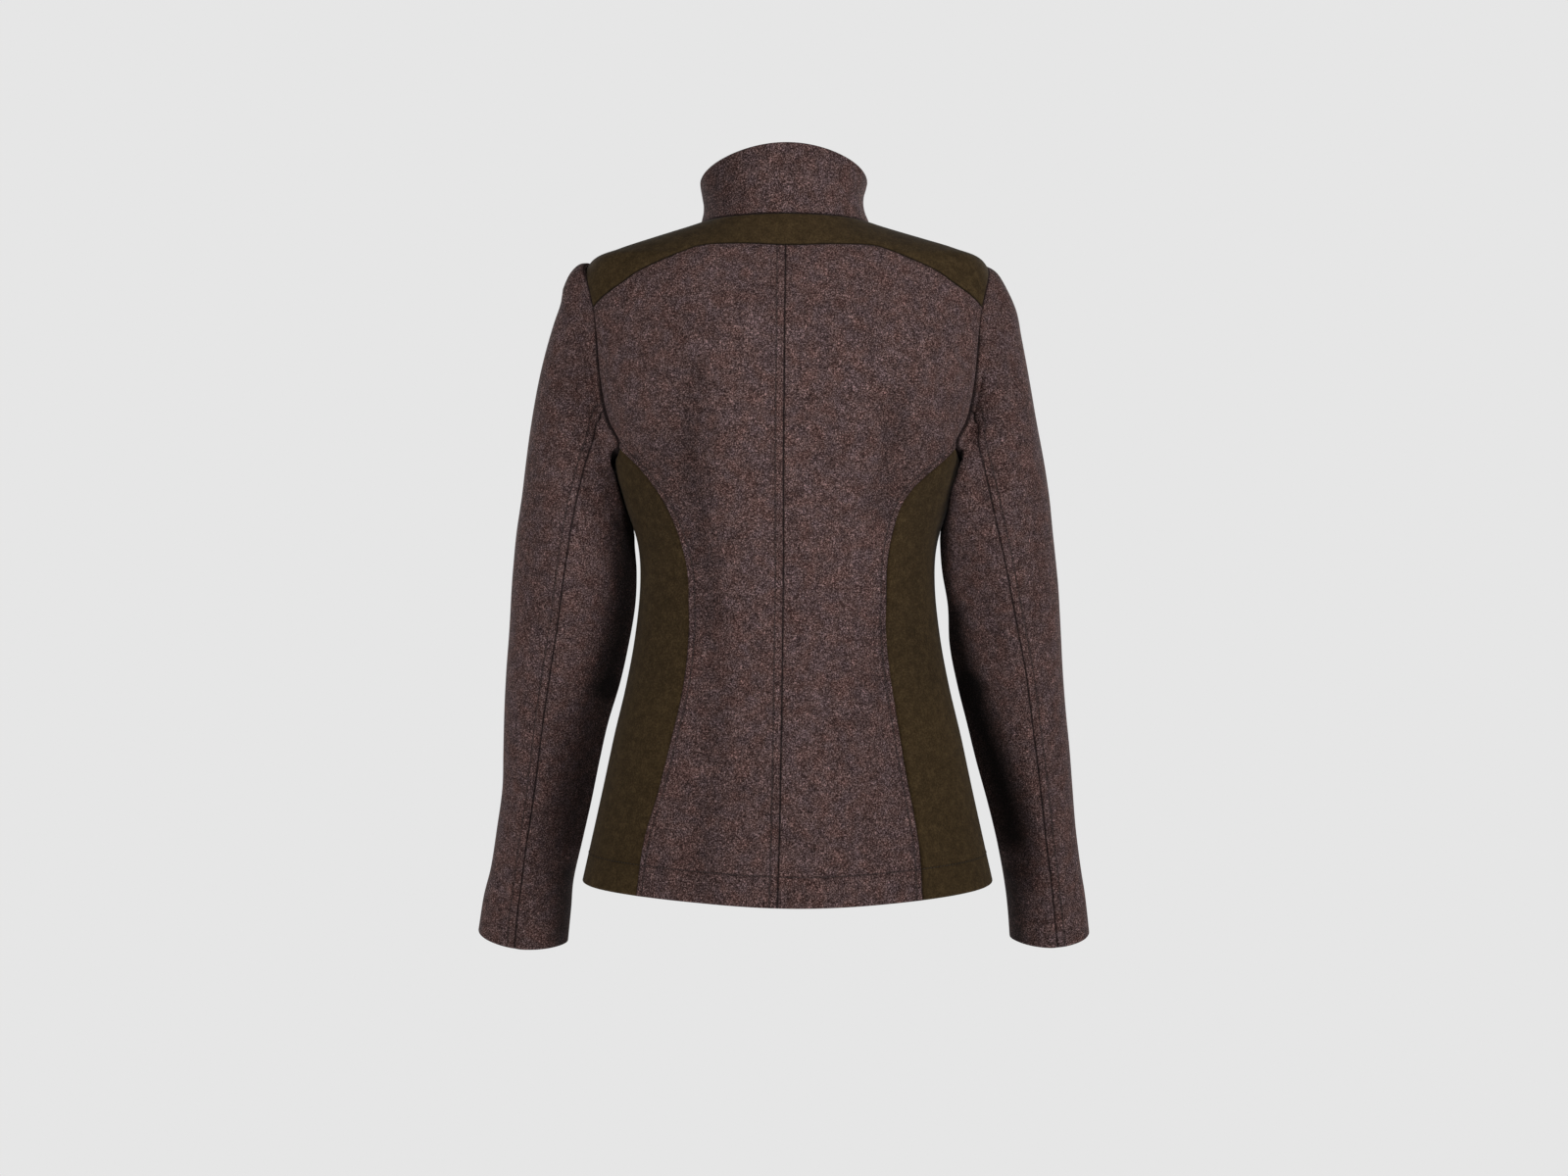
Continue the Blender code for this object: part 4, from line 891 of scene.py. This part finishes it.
def wool_material(wool):
    """Fulled wool, with painted shade in its seams, in its stitching's grooves and in the hollows of its
    creases.
    """
    nodes = Nodes(wool.name, wool.roughness, Sheen_Weight=SHEEN, Sheen_Roughness=wool.sheen_roughness,
                  Specular_IOR_Level=wool.specular)
    place = nodes.place()
    fibre, cloud = nodes.noise(place, *wool.fibre), nodes.noise(place, *wool.cloud)
    clouded = nodes.maths("MULTIPLY", nodes.maths("SUBTRACT", cloud, 0.5), wool.cloud_share)
    colour = nodes.ramp(nodes.maths("ADD", fibre, clouded), wool.colours)
    if wool.drift:
        noise, tints = wool.drift
        colour = nodes.mix(DRIFT_SHARE, colour, nodes.ramp(nodes.noise(place, *noise), tints), "OVERLAY")
    groove, seam = stitch_groove(nodes), seam_shade(nodes)
    # painted shade in the seams and the stitching's grooves, and below it that of the creases
    dark = nodes.maths("MAXIMUM", nodes.maths("MULTIPLY", groove, wool.groove),
                       nodes.maths("MULTIPLY", seam, wool.seam))
    colour = nodes.mix(dark, fold_shade(nodes, colour), srgb(*wool.dark))
    groove_depth, strength, depth = wool.bump
    height = nodes.maths("SUBTRACT", fibre, nodes.maths("MULTIPLY", groove, groove_depth))
    return nodes.finish(colour, height, strength, depth)


def thread_material(name, dark, pale):
    """Strands of thread between two colours."""
    nodes = Nodes(name, 0.6)
    strand = nodes.noise(nodes.place(), scale=2500.0)
    colour = nodes.ramp(strand, [(0.35, dark), (0.65, pale)])
    return nodes.finish(colour, strand, strength=0.4, depth=0.0002)


def horn_material():
    """Polished dark horn with paler streaks."""
    nodes = Nodes("dark_horn", 0.28, Coat_Weight=0.25, Coat_Roughness=0.15)
    place = nodes.place()
    stretched = nodes.add("ShaderNodeMapping", {"Vector": place, "Scale": (60.0, 300.0, 420.0),
                                                "Rotation": (0.3, 0.4, 0.5)}).outputs[0]
    streaks = nodes.noise(stretched, scale=1.0, detail=4.0, roughness=0.6, distortion=1.2)
    colour = nodes.ramp(streaks, [(0.3, (38, 25, 18)), (0.5, (66, 44, 31)), (0.66, (112, 82, 58)),
                                  (0.8, (150, 120, 90))])
    return nodes.finish(colour, nodes.noise(place, scale=1500.0), strength=0.08, depth=0.0002)


HORN = horn_material()
BROWN_THREAD = thread_material("brown_thread", (48, 35, 33), (76, 60, 56))
OLIVE_THREAD = thread_material("olive_thread", (36, 28, 18), (62, 50, 34))
# near-black painted shade that stands for the insides of the buttons' holes and of the buttonholes' slits
DARK = thread_material("dark_hollow", (12, 9, 8), (20, 15, 13))
# A cloth: its look, the thread that it is sewn with and its slot.
Loden = namedtuple("Loden", "look thread slot")
TWEED = Loden(wool_material(TWEED_WOOL), BROWN_THREAD, "tweed_loden")
OLIVE = Loden(wool_material(OLIVE_WOOL), OLIVE_THREAD, "olive_loden")


# ---- the cloth ----
def match_normals(points, normals, line, facing):
    """Turn the points that lie on a seam to face as the seam does, so both its pieces meet there."""
    flat, out = points.reshape(-1, 3), normals.reshape(-1, 3)
    for k, share, away in line_steps(flat, line):
        on_it = away < ON_SEAM
        out[on_it] = unit(facing[k] * (1 - share[on_it]) + facing[k + 1] * share[on_it])


def dressed(grid, halves, rows=None, columns=None):
    """Points and normals of a grid of spots, stepped closer at its edges, turned to its neighbours."""
    rows = border_steps(grid.shape[0]) if rows is None else rows
    columns = border_steps(grid.shape[1]) if columns is None else columns
    spots = resample(grid, rows, columns)
    points, normals = body(spots), body_normal(spots)
    on_neck = abs(spots[..., 1] - NECK_LEVEL) < SAME_SPOT
    normals[on_neck] = -unit(neck_walls(spots[on_neck][:, 0]))
    for half in halves:
        ring = np.append(np.arange(len(half.armhole)), 0)
        match_normals(points, normals, body(half.armhole)[ring], -unit(half.sleeve_walls[0])[ring])
    return creased(points, normals, "body"), normals


# Soft troughs and ridges pressed into each part of the jacket, along lines in x and z, seen from one side.
# A trough's hollow gets painted shade by its depth, or by dark where given; a crease of height 0 is painted
# shade alone.
Crease = namedtuple("Crease", "side line reach height dark", defaults=[None])
FACING = {"back": (0, 1, 0), "front": (0, -1, 0), "top": (0, 0, 1)}
ARMHOLE_RIDGE = [(0.1855, -0.120), (0.1840, -0.145), (0.1810, -0.165), (0.1775, -0.180), (0.1710, -0.198)]
CREASES = {
    "body": [
        # the back hangs in soft folds from the shoulder blades to the waist, deeper on the wearer's left,
        # painted darker in their hollows
        Crease("back", [(0.086, -0.160), (0.089, -0.225), (0.080, -0.300), (0.070, -0.365)], 0.015,
               -0.0055),
        Crease("back", [(0.070, -0.385), (0.068, -0.440), (0.074, -0.500)], 0.014, -0.0040),
        Crease("back", [(0.074, -0.535), (0.080, -0.585), (0.078, -0.615)], 0.016, -0.0036),
        Crease("back", [(-0.098, -0.180), (-0.096, -0.225), (-0.086, -0.275)], 0.015, -0.0050),
        Crease("back", [(-0.086, -0.385), (-0.084, -0.440)], 0.016, -0.0028),
        Crease("back", [(0.045, -0.105), (0.075, -0.128), (0.110, -0.180)], 0.020, 0.0020),
        Crease("back", [(-0.040, -0.110), (-0.075, -0.132), (-0.112, -0.185)], 0.020, 0.0020),
        # the waist is drawn in; painted shade, with no trough under it, lies at both its sides and lower on
        # the wearer's left
        Crease("back", [(0.120, -0.235), (0.122, -0.300), (0.116, -0.365), (0.124, -0.425)], 0.030, 0,
               0.24),
        Crease("back", [(-0.132, -0.235), (-0.128, -0.300), (-0.122, -0.365), (-0.128, -0.425)], 0.028, 0,
               0.22),
        Crease("back", [(0.138, -0.480), (0.150, -0.560), (0.160, -0.600)], 0.024, 0, 0.14),
        Crease("front", [(0.118, -0.200), (0.096, -0.262), (0.092, -0.330)], 0.016, -0.0026),
        Crease("front", [(-0.112, -0.215), (-0.092, -0.275), (-0.094, -0.345)], 0.016, -0.0022),
        Crease("front", [(0.052, -0.395), (0.060, -0.460), (0.058, -0.540)], 0.020, -0.0018),
        Crease("front", [(-0.066, -0.420), (-0.074, -0.500)], 0.020, -0.0020),
    ],
    "collar": [
        # painted shade, with no trough under it, on the wearer's left of the collar
        Crease("back", [(0.066, -0.012), (0.060, 0.055)], 0.024, 0, 0.26),
    ],
    "left sleeve": [
        # the sleeve head stands up beside the armhole
        Crease("back", ARMHOLE_RIDGE, 0.0065, 0.0034),
        # its head is a little fuller than the right's
        Crease("top", [(0.195, -0.049), (0.207, -0.066)], 0.012, 0.0056),
        # soft drags from the armhole, at the elbow and above the cuff
        Crease("back", [(0.205, -0.150), (0.196, -0.210), (0.186, -0.270)], 0.013, -0.0018),
        Crease("back", [(0.238, -0.235), (0.236, -0.300), (0.228, -0.365)], 0.014, -0.0014),
        Crease("back", [(0.170, -0.372), (0.196, -0.386), (0.232, -0.378)], 0.011, -0.0018),
        Crease("back", [(0.214, -0.440), (0.226, -0.510), (0.236, -0.580)], 0.013, -0.0014),
        Crease("front", [(0.165, -0.330), (0.196, -0.352), (0.236, -0.345)], 0.011, -0.0026),
        Crease("front", [(0.172, -0.372), (0.204, -0.392), (0.240, -0.388)], 0.011, -0.0020),
        Crease("front", [(0.196, -0.150), (0.190, -0.205), (0.184, -0.262)], 0.014, -0.0022),
        # a shallow trough down its inner side, where it hangs against the body, and on into the cuff, painted
        # dark as the shadow there
        Crease("back", [(0.149, -0.290), (0.150, -0.335), (0.153, -0.370), (0.160, -0.405),
               (0.169, -0.440)], 0.0140, -0.0030, 0.88),
        Crease("back", [(0.172, -0.452), (0.190, -0.515), (0.199, -0.554), (0.206, -0.588)], 0.0135,
               -0.0024, 0.50),
        Crease("back", [(0.211, -0.622), (0.215, -0.652), (0.218, -0.690)], 0.012, -0.0006, 0.75),
    ],
    "right sleeve": [
        # the same ridge; and it is full where it meets the side, under the arm
        Crease("back", [(-x, z) for x, z in ARMHOLE_RIDGE], 0.0065, 0.0034),
        Crease("back", [(-0.166, -0.232), (-0.158, -0.262)], 0.014, 0.0045),
        # its drags
        Crease("back", [(-0.204, -0.145), (-0.195, -0.200), (-0.188, -0.255)], 0.013, -0.0020),
        Crease("back", [(-0.232, -0.255), (-0.230, -0.320), (-0.222, -0.380)], 0.014, -0.0014),
        Crease("back", [(-0.176, -0.395), (-0.202, -0.404), (-0.234, -0.392)], 0.011, -0.0016),
        Crease("back", [(-0.220, -0.455), (-0.232, -0.525), (-0.240, -0.590)], 0.013, -0.0014),
        Crease("front", [(-0.168, -0.340), (-0.198, -0.364), (-0.234, -0.356)], 0.011, -0.0024),
        Crease("front", [(-0.178, -0.386), (-0.208, -0.402), (-0.238, -0.396)], 0.011, -0.0018),
        Crease("front", [(-0.194, -0.160), (-0.188, -0.215), (-0.182, -0.270)], 0.014, -0.0020),
        # its shallow trough down its inner side, painted dark as the shadow there
        Crease("back", [(-0.155, -0.375), (-0.160, -0.405), (-0.170, -0.440)], 0.0130, -0.0030, 0.80),
        Crease("back", [(-0.174, -0.452), (-0.196, -0.515), (-0.208, -0.554), (-0.215, -0.588)], 0.0165,
               -0.0034, 0.92),
        Crease("back", [(-0.215, -0.622), (-0.219, -0.655), (-0.222, -0.688)], 0.012, -0.0006, 0.75),
    ],
}


def crease_fields(points, normals, on):
    """How far the creases of that part of the jacket lift its points, and how much painted shade they lay on
    them.
    """
    lift, hollow = np.zeros(points.shape[:-1]), np.zeros(points.shape[:-1])
    flat = points[..., [0, 2]]
    for crease in CREASES[on]:
        facing = normals @ FACING[crease.side]
        knots = smooth(crease.line, np.linspace(0, len(crease.line) - 1, CREASE_STEPS * len(crease.line)))
        depth = np.exp(-(distance(flat, knots) / crease.reach) ** 2)
        # painted shade: by the trough's depth, unless the crease gives it outright
        dark = max(0, -crease.height) * PAINTED_SHADE_PER_METRE if crease.dark is None else crease.dark
        lift += np.clip(facing * CREASE_FACING, 0, 1) * crease.height * depth
        hollow += np.clip(1 + facing * PAINTED_SHADE_FACING, 0, 1) * dark * depth
    return lift, hollow


def creased(points, normals, on):
    """The points with the creases of that part of the jacket pressed into them."""
    return points + normals * crease_fields(points, normals, on)[0][..., None]


Cut = namedtuple("Cut", "width length area")  # flat, with no seam allowance: metres, square metres


# Topstitching at an offset from a line, across the grids with these numbers, crossed from this end.
Stitching = namedtuple("Stitching", "line offset along_rows from_start grids", defaults=[True, True, (0,)])


def sew(node, grids, edges, loden, stitching=(), wall=WALL, on="body"):
    """The cloth that stands for this solid, with its stitches."""
    stitched = [(row.line, row.offset) for row in stitching]
    piece, outers = cloth(f"cloth_{node}", grids, edges, loden, wall, stitched, on)
    rows = [stitch_row(outers[k], grids[k][1], row.line, row.offset, row.along_rows, row.from_start)
            for row in stitching for k in row.grids]
    if rows:
        name = f"stitches_{node}".replace("upper_", "")
        add_stitches(name, rows, loden)
    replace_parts(piece, node)


def add_back(half, centre):
    """Half the back, from the centre seam to the princess seam; the left half is topstitched on both."""
    up_arm = half.armhole[stretch(half.places, YOKE_AT_BACK, BACK_TIP)][::-1]
    hem = np.linspace(centre[0], half.princess[0], BACK_COLUMNS + 1)
    grid = patch(centre, np.concatenate([half.princess, up_arm[1:]]), hem, half.yoke_back)
    points, normals = dressed(grid, [half])
    hem, middle, princess = points[0], body(centre), body(half.princess)
    edges = [Edge("seam", middle), Edge("over", princess), Edge("armhole", body(up_arm)),
             Edge("seam", body(half.yoke_back)), Edge("fold", hem)]
    stitching = [Stitching(hem, HEM_STITCH, along_rows=False),
                 Stitching(princess, EDGE_STITCH, from_start=False)]
    if half.side == "left":
        stitching.append(Stitching(middle, SEAM_STITCH))
    sew(f"back_{half.side}", [(points, normals)], edges, TWEED, stitching)


def add_side(half):
    """The olive side panel, under both its neighbours."""
    under = half.armhole[stretch(half.places, BACK_TIP, FRONT_TIP)]
    hem = np.linspace(half.princess[0], half.front_princess[0], len(under))
    points, normals = dressed(patch(half.princess, half.front_princess, hem, under), [half])
    edges = [Edge("under", body(half.princess)), Edge("under", body(half.front_princess)),
             Edge("armhole", body(under)), Edge("fold", points[0])]
    sew(f"side_{half.side}", [(points, normals)], edges, OLIVE,
        [Stitching(points[0], HEM_STITCH, along_rows=False)])


def add_front(half):
    """A front with its lap; the wearer's right one lies over the left."""
    inside = np.concatenate([half.lap[:, 2], neck_spots(half.neck[2:2 + NECK_FRONT_CELLS])])
    up_arm = half.armhole[stretch(half.places, FRONT_TIP, YOKE_AT_FRONT)]
    outside = np.concatenate([half.front_princess, up_arm[1:]])
    hem = np.linspace(inside[0], half.front_princess[0], FRONT_COLUMNS + 1)
    grid = patch(inside, outside, hem, half.yoke_front)
    corner = len(half.lap) - 1
    beside_it = np.array(BORDER_STEPS[1:])
    rows = np.unique(np.concatenate([border_steps(len(grid)), corner - beside_it, corner + beside_it]))
    points, normals = dressed(grid, [half], rows)
    lap_points, lap_normals = dressed(half.lap, [half], rows[rows <= corner], LAP_STEPS)
    normals[:len(lap_points), 0] = lap_normals[:, -1]
    if half.side == "right":
        fade = np.clip(1 - distance(points, lap_points[:, -1]) / LAP_FADE, 0, 1)
        proud = WALL + LAP_CLEAR
        points = points + normals * (proud * fade * fade * (3 - 2 * fade))[..., None]
        lap_points = lap_points + lap_normals * proud
    hem, lap_hem, edge = points[0], lap_points[0], lap_points[:, 0]
    edges = [Edge("over", body(half.front_princess)), Edge("armhole", body(up_arm)), Edge("fold", edge),
             Edge("seam", body(half.yoke_front)), Edge("seam", points[len(lap_points) - 1:, 0]),
             Edge("seam", lap_points[-1]), Edge("fold", hem), Edge("fold", lap_hem)]
    stitching = [Stitching(np.concatenate([lap_hem, hem[1:]]), HEM_STITCH, along_rows=False, grids=(0, 1)),
                 Stitching(edge, EDGE_STITCH, grids=(1,))]
    grids = [(points, normals), (lap_points, lap_normals)]
    sew(f"front_{half.side}", grids, edges, TWEED, stitching)
    return grids


def add_sleeve(half):
    """A sleeve in two pieces, parted at the hindarm and the forearm seam."""
    on = f"{half.side} sleeve"
    for kind, start, end in (("upper", FOREARM, HINDARM), ("under", HINDARM, FOREARM)):
        columns = stretch(half.places, start, end)
        grid, facing = half.sleeve[:, columns], -unit(half.sleeve_walls[:, columns])
        rows, columns = border_steps(grid.shape[0]), border_steps(grid.shape[1])
        points, normals = resample(grid, rows, columns), unit(resample(facing, rows, columns))
        points = creased(points, normals, on)
        first, last = points[:, 0], points[:, -1]
        edges = [Edge("sleeve head", points[0]), Edge("fold", points[-1]), Edge("seam", first),
                 Edge("seam", last)]
        stitching = [Stitching(last, SEAM_STITCH, from_start=False)] if kind == "upper" else []
        sew(f"sleeve_{kind}_{half.side}", [(points, normals)], edges, TWEED,
            stitching, on=on)


def add_yoke(halves):
    """The yoke, from the left front seam over both shoulders to the right one."""
    over, inner = [], []
    for half in halves:
        shoulder = half.armhole[stretch(half.places, YOKE_AT_FRONT, YOKE_AT_BACK)]
        over.append(np.concatenate([shoulder, half.yoke_back[::-1][1:]]))
        inner.append(half.neck[1 + NECK_FRONT_CELLS:])
    outer, neck = (np.concatenate([left, right[::-1][1:]]) for left, right in (over, inner))
    left, right = halves
    grid = patch(left.yoke_front[::-1], right.yoke_front[::-1], outer, neck_spots(neck))
    points, normals = dressed(grid, halves)
    edges = [Edge("seam", line) for line in (points[0], points[-1], points[:, 0], points[:, -1])]
    edges += [Edge("armhole", body(np.append(half.armhole, half.armhole[:1], axis=0))) for half in halves]
    sew("yoke", [(points, normals)], edges, OLIVE)


def bordered(values):
    """A row of values, stepped closer at both its ends."""
    return resample(values[:, None, None], border_steps(len(values)), np.zeros(1))[:, 0, 0]


def add_collar(angles):
    """The stand collar, in columns above the neck seam's steps, its two ends parted in front."""
    table = [RINGS[-1]] + COLLAR_RINGS
    levels = bordered(np.linspace(0, len(table) - 1, FINE * (len(table) - 1) + 1))
    angles = bordered(angles)
    points = np.array([section(smooth(table, level), angles) for level in levels])
    points[0] = body(neck_spots(angles))
    climb = (levels / levels[-1])[:, None] ** 2
    spread = COLLAR_PARTING + (COLLAR_SPREAD - COLLAR_PARTING) * climb
    for end, inward in ((0, COLLAR_END_STEPS), (-1, -1 - COLLAR_END_STEPS)):
        reach = np.linalg.norm(points - points[:, end:end + 1 or None], axis=-1)
        ahead = unit(points[:, inward] - points[:, end])[:, None]
        points += ahead * (spread * np.clip(1 - reach / COLLAR_PARTING_REACH, 0, 1))[..., None]
    normals = unit(np.cross(np.gradient(points, axis=1), np.gradient(points, axis=0)))
    if np.sum(normals[..., :2] * points[..., :2]) < 0:
        normals = -normals
    normals[0] = -unit(neck_walls(angles))
    edges = [Edge("seam", points[0])]
    edges += [Edge("fold", line) for line in (points[-1], points[:, 0], points[:, -1])]
    sew("collar", [(points, normals)], edges, TWEED, wall=COLLAR_WALL, on="collar")


# ---- buttons and their holes ----
EYE_OFF = 0.0022  # from the button's middle to the middle of each of its four holes, each way
EYE_RADIUS = 0.0008
EYE_SIDES = 12
BOWL_DEPTH = 0.62  # where the button's face lies, in shares of its thickness
THREAD_RADIUS = 0.00035
THREAD_SIDES = 6
THREAD_STEPS = 8
THREAD_RISE = 0.0005
PROFILE_STEPS = 6  # a button's profile is taken in this many steps a row of its table
EYE_LIFT = 0.0001  # a hole's disc of painted shade lies this far above the button's face
HOLE_START, HOLE_END = 0.0035, -0.0215  # a buttonhole, in x at its button's height
HOLE_ROUND = 0.0011  # the bar of thread on each side of its slit
HOLE_SLIT = 0.35  # the slit's radius, in shares of the bar's
HOLE_TURNS = 44  # the thread's turns along one side of a hole
HOLE_LIFT = 0.0004
HOLE_FEEL = 0.0035  # the cloth's height at a hole is felt this far round
# One turn of the thread over the bar: how far across it and how high, in shares of its round and its lift.
HOLE_ARC = [(-0.9, -1), (-0.5, 1), (0, 1.5), (0.6, 1), (0.95, -1)]
HOLE_THREAD = 0.46  # the radius of a turn, in shares of the step to the next one
HOLE_SIDES = 5
UPRIGHT = 0.9  # a thread that runs steeper than this is turned from the x axis, not from the z axis


def tube(path, radius, sides):
    """The points and faces of a closed thread of this radius along a path."""
    path = np.asarray(path, float)
    ahead = unit(np.gradient(path, axis=0))
    helper = np.where(abs(ahead[:, 2:]) < UPRIGHT, [[0.0, 0.0, 1.0]], [[1.0, 0.0, 0.0]])
    across = unit(np.cross(ahead, helper))
    up = np.cross(across, ahead)
    turns = np.linspace(0, 2 * math.pi, sides, endpoint=False)[None, :, None]
    rings = path[:, None] + radius * (np.cos(turns) * across[:, None] + np.sin(turns) * up[:, None])
    verts = rings.reshape(-1, 3)
    last = (len(path) - 1) * sides
    around = [(base + k, base + (k + 1) % sides) for base in range(0, last, sides) for k in range(sides)]
    faces = [(a, b, b + sides, a + sides) for a, b in around]
    faces += [tuple(range(sides))[::-1], tuple(range(last, last + sides))]
    return verts, faces


def button_place(node):
    """From the middle of a button's foot, with z out of the cloth, to where its solid is."""
    made = np.array([v.co for v in node.data.vertices])
    middle = made.mean(axis=0)
    out = np.linalg.svd(made - middle)[2][-1]
    out = -out if out[1] > 0 else out
    foot = middle + out * (((made - middle) @ out).min())
    return Matrix.Translation(foot) @ Vector(out).to_track_quat("Z", "Y").to_matrix().to_4x4()


def turned_button(name, place):
    """A button's profile, turned round its axis."""
    shape = bmesh.new()
    steps = np.linspace(0, len(BUTTON_PROFILE) - 1, PROFILE_STEPS * (len(BUTTON_PROFILE) - 1) + 1)
    profile = np.maximum(smooth(BUTTON_PROFILE, steps), 0)
    verts = [shape.verts.new((r * BUTTON_RADIUS, 0, h * BUTTON_THICKNESS)) for r, h in profile]
    edges = [shape.edges.new(pair) for pair in zip(verts, verts[1:])]
    bmesh.ops.spin(shape, geom=verts + edges, cent=(0, 0, 0), axis=(0, 0, 1), angle=2 * math.pi,
                   steps=2 * BUTTON_SIDES, use_merge=False)
    bmesh.ops.remove_doubles(shape, verts=shape.verts, dist=SAME_SPOT)
    bmesh.ops.recalc_face_normals(shape, faces=shape.faces)
    bmesh.ops.transform(shape, matrix=place, verts=shape.verts)
    return as_mesh(name, shape)


def eyes_and_thread():
    """Discs of painted shade for a button's four holes, which are not cut, and the thread that crosses
    between them.
    """
    corners = [np.array([x * EYE_OFF, y * EYE_OFF, BOWL_DEPTH * BUTTON_THICKNESS]) for x in (-1, 1)
               for y in (-1, 1)]
    turns = np.linspace(0, 2 * math.pi, EYE_SIDES, endpoint=False)
    rim = np.stack([np.cos(turns), np.sin(turns), 0 * turns], axis=-1) * EYE_RADIUS
    painted_eyes = [(corner + rim + (0, 0, EYE_LIFT), [tuple(range(EYE_SIDES))]) for corner in corners]
    share = np.linspace(0, 1, THREAD_STEPS + 1)[:, None]
    threads = []
    for start, end in ((corners[0], corners[3]), (corners[1], corners[2])):
        path = start * (1 - share) + end * share
        path[:, 2] += THREAD_RISE * np.sin(math.pi * share[:, 0]) ** 0.5
        threads.append(tube(path, THREAD_RADIUS, THREAD_SIDES))
    return painted_eyes, threads


def add_button(node):
    """A turned horn button, in the place of its solid, with discs of painted shade for its four holes, and
    its crossed thread.
    """
    place = button_place(node)
    name = f"horn_{node.name}"
    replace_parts(add_piece(name, turned_button(name, place), HORN), node.name)
    for kind, parts, look in zip(("painted_eyes", "thread"), eyes_and_thread(), (DARK, BROWN_THREAD)):
        verts, faces = together(parts)
        joined(f"{kind}_{node.name}", [place @ Vector(v) for v in verts], faces, look, "horn")


def add_buttonholes(front, nodes):
    """A worked hole across the right front at each button: a slit, a thin tube of painted shade, between two
    bars of close thread.
    """
    points, normals = (np.concatenate([grid[k].reshape(-1, 3) for grid in front]) for k in (0, 1))
    bars, slit_shades = [], []
    for node in nodes:
        z = np.mean([v.co.z for v in node.data.vertices])
        path = []
        for x in np.linspace(HOLE_START, HOLE_END, HOLE_TURNS):
            spread = np.exp(-((points[:, 0] - x) ** 2 + (points[:, 2] - z) ** 2) / HOLE_FEEL ** 2)
            path.append([x, (spread @ points[:, 1]) / spread.sum(), z, *(spread @ normals) / spread.sum()])
        path = np.array(path)
        out = unit(path[:, 3:])
        bed = path[:, :3] + out * HOLE_LIFT
        for side in (1, -1):
            up = np.array([0, 0, side * HOLE_ROUND])
            bar = bed + up
            for spot, after, lift in zip(bar, bar[1:], out * HOLE_LIFT):
                arc = np.array([spot + up * across + lift * high for across, high in HOLE_ARC])
                ahead = after - spot
                bars.append(tube(arc + ahead / 2, np.linalg.norm(ahead) * HOLE_THREAD, HOLE_SIDES))
        slit_shades.append(tube(bed, HOLE_ROUND * HOLE_SLIT, HOLE_SIDES))
    joined("buttonhole_thread", *together(bars), BROWN_THREAD, TWEED.slot)
    joined("buttonhole_slits", *together(slit_shades), DARK, TWEED.slot)


centre = along(seam_knots(CENTRE_BACK, "back")[::-1], CENTRE_ROWS)
halves = [make_half(side, centre) for side in SIDES]
fronts = {}
for half in halves:
    add_back(half, centre)
    add_side(half)
    fronts[half.side] = add_front(half)
    add_sleeve(half)
add_yoke(halves)
add_collar(np.concatenate([halves[0].neck, halves[1].neck[::-1][1:]]))
buttons = [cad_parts[f"button_{k + 1}"] for k in range(BUTTONS)]
for node in buttons:
    add_button(node)
add_buttonholes(fronts["right"], buttons)


# ---- floor, light and camera ----
FLOOR_Z = -1.42
FLOOR_RADIUS = 1.8
FLOOR_SIDES = 96
AMBIENT = 0.015  # the light that comes from all round
CAMERA_PLACE = (0.0033, 2.0667, -0.349)
LENS, SENSOR = 50.0, 36.0
bpy.ops.mesh.primitive_circle_add(vertices=FLOOR_SIDES, radius=FLOOR_RADIUS, fill_type="NGON",
                                  location=(0, 0, FLOOR_Z))
floor = bpy.context.object
floor.name = "floor"
floor_look = Nodes("floor", 0.9)
floor_look.shader.inputs["Base Color"].default_value = srgb(226, 226, 226)
floor.data.materials.append(floor_look.material)

world = bpy.data.worlds.new("studio")
bpy.context.scene.world = world
world.use_nodes = True
tree = world.node_tree
tree.nodes.clear()
seen, around = (tree.nodes.new("ShaderNodeBackground") for _ in range(2))
seen.inputs[0].default_value = srgb(230, 230, 230)
around.inputs[0].default_value = (1, 1, 1, 1)
around.inputs[1].default_value = AMBIENT
ray, both, out = (tree.nodes.new(kind) for kind in ("ShaderNodeLightPath", "ShaderNodeMixShader",
                                                     "ShaderNodeOutputWorld"))
tree.links.new(ray.outputs["Is Camera Ray"], both.inputs[0])
tree.links.new(around.outputs[0], both.inputs[1])
tree.links.new(seen.outputs[0], both.inputs[2])
tree.links.new(both.outputs[0], out.inputs[0])

Lamp = namedtuple("Lamp", "name place aim size power cone")  # cone: None for a soft panel
LAMPS = [
    Lamp("back_left", (1.85, 1.85, -0.40), (0, 0, -0.35), 0.9, 26.5, None),
    Lamp("back_right", (-2.3, 1.22, -0.35), (0, 0, -0.35), 0.9, 29, None),
    Lamp("back_high", (-0.6, 2.2, 1.2), (0, 0, -0.15), 0.25, 122, 17),
    Lamp("back_low", (0.0, 2.5, -0.30), (0, 0, -0.52), 0.25, 44, 15),
    Lamp("front_left", (1.6, -2.2, 0.3), (0, 0, -0.35), 1.4, 26, None),
    Lamp("front_right", (-1.6, -2.2, 0.3), (0, 0, -0.35), 1.4, 26, None),
]
for lamp in LAMPS:
    if lamp.cone:
        data = bpy.data.lights.new(lamp.name, "SPOT")
        data.shadow_soft_size, data.spot_size, data.spot_blend = lamp.size, math.radians(lamp.cone), 1.0
    else:
        data = bpy.data.lights.new(lamp.name, "AREA")
        data.shape, data.size = "SQUARE", lamp.size
    data.energy = lamp.power
    light = bpy.data.objects.new(lamp.name, data)
    light.location = lamp.place
    light.rotation_euler = (Vector(lamp.place) - Vector(lamp.aim)).to_track_quat("Z", "Y").to_euler()
    bpy.context.scene.collection.objects.link(light)

scene = bpy.context.scene
scene.view_settings.view_transform = "Standard"
camera = bpy.data.objects.new("camera", bpy.data.cameras.new("camera"))
camera.data.lens, camera.data.sensor_width = LENS, SENSOR
camera.location = CAMERA_PLACE
camera.rotation_euler = (math.pi / 2, 0, math.pi)
scene.collection.objects.link(camera)
scene.camera = camera
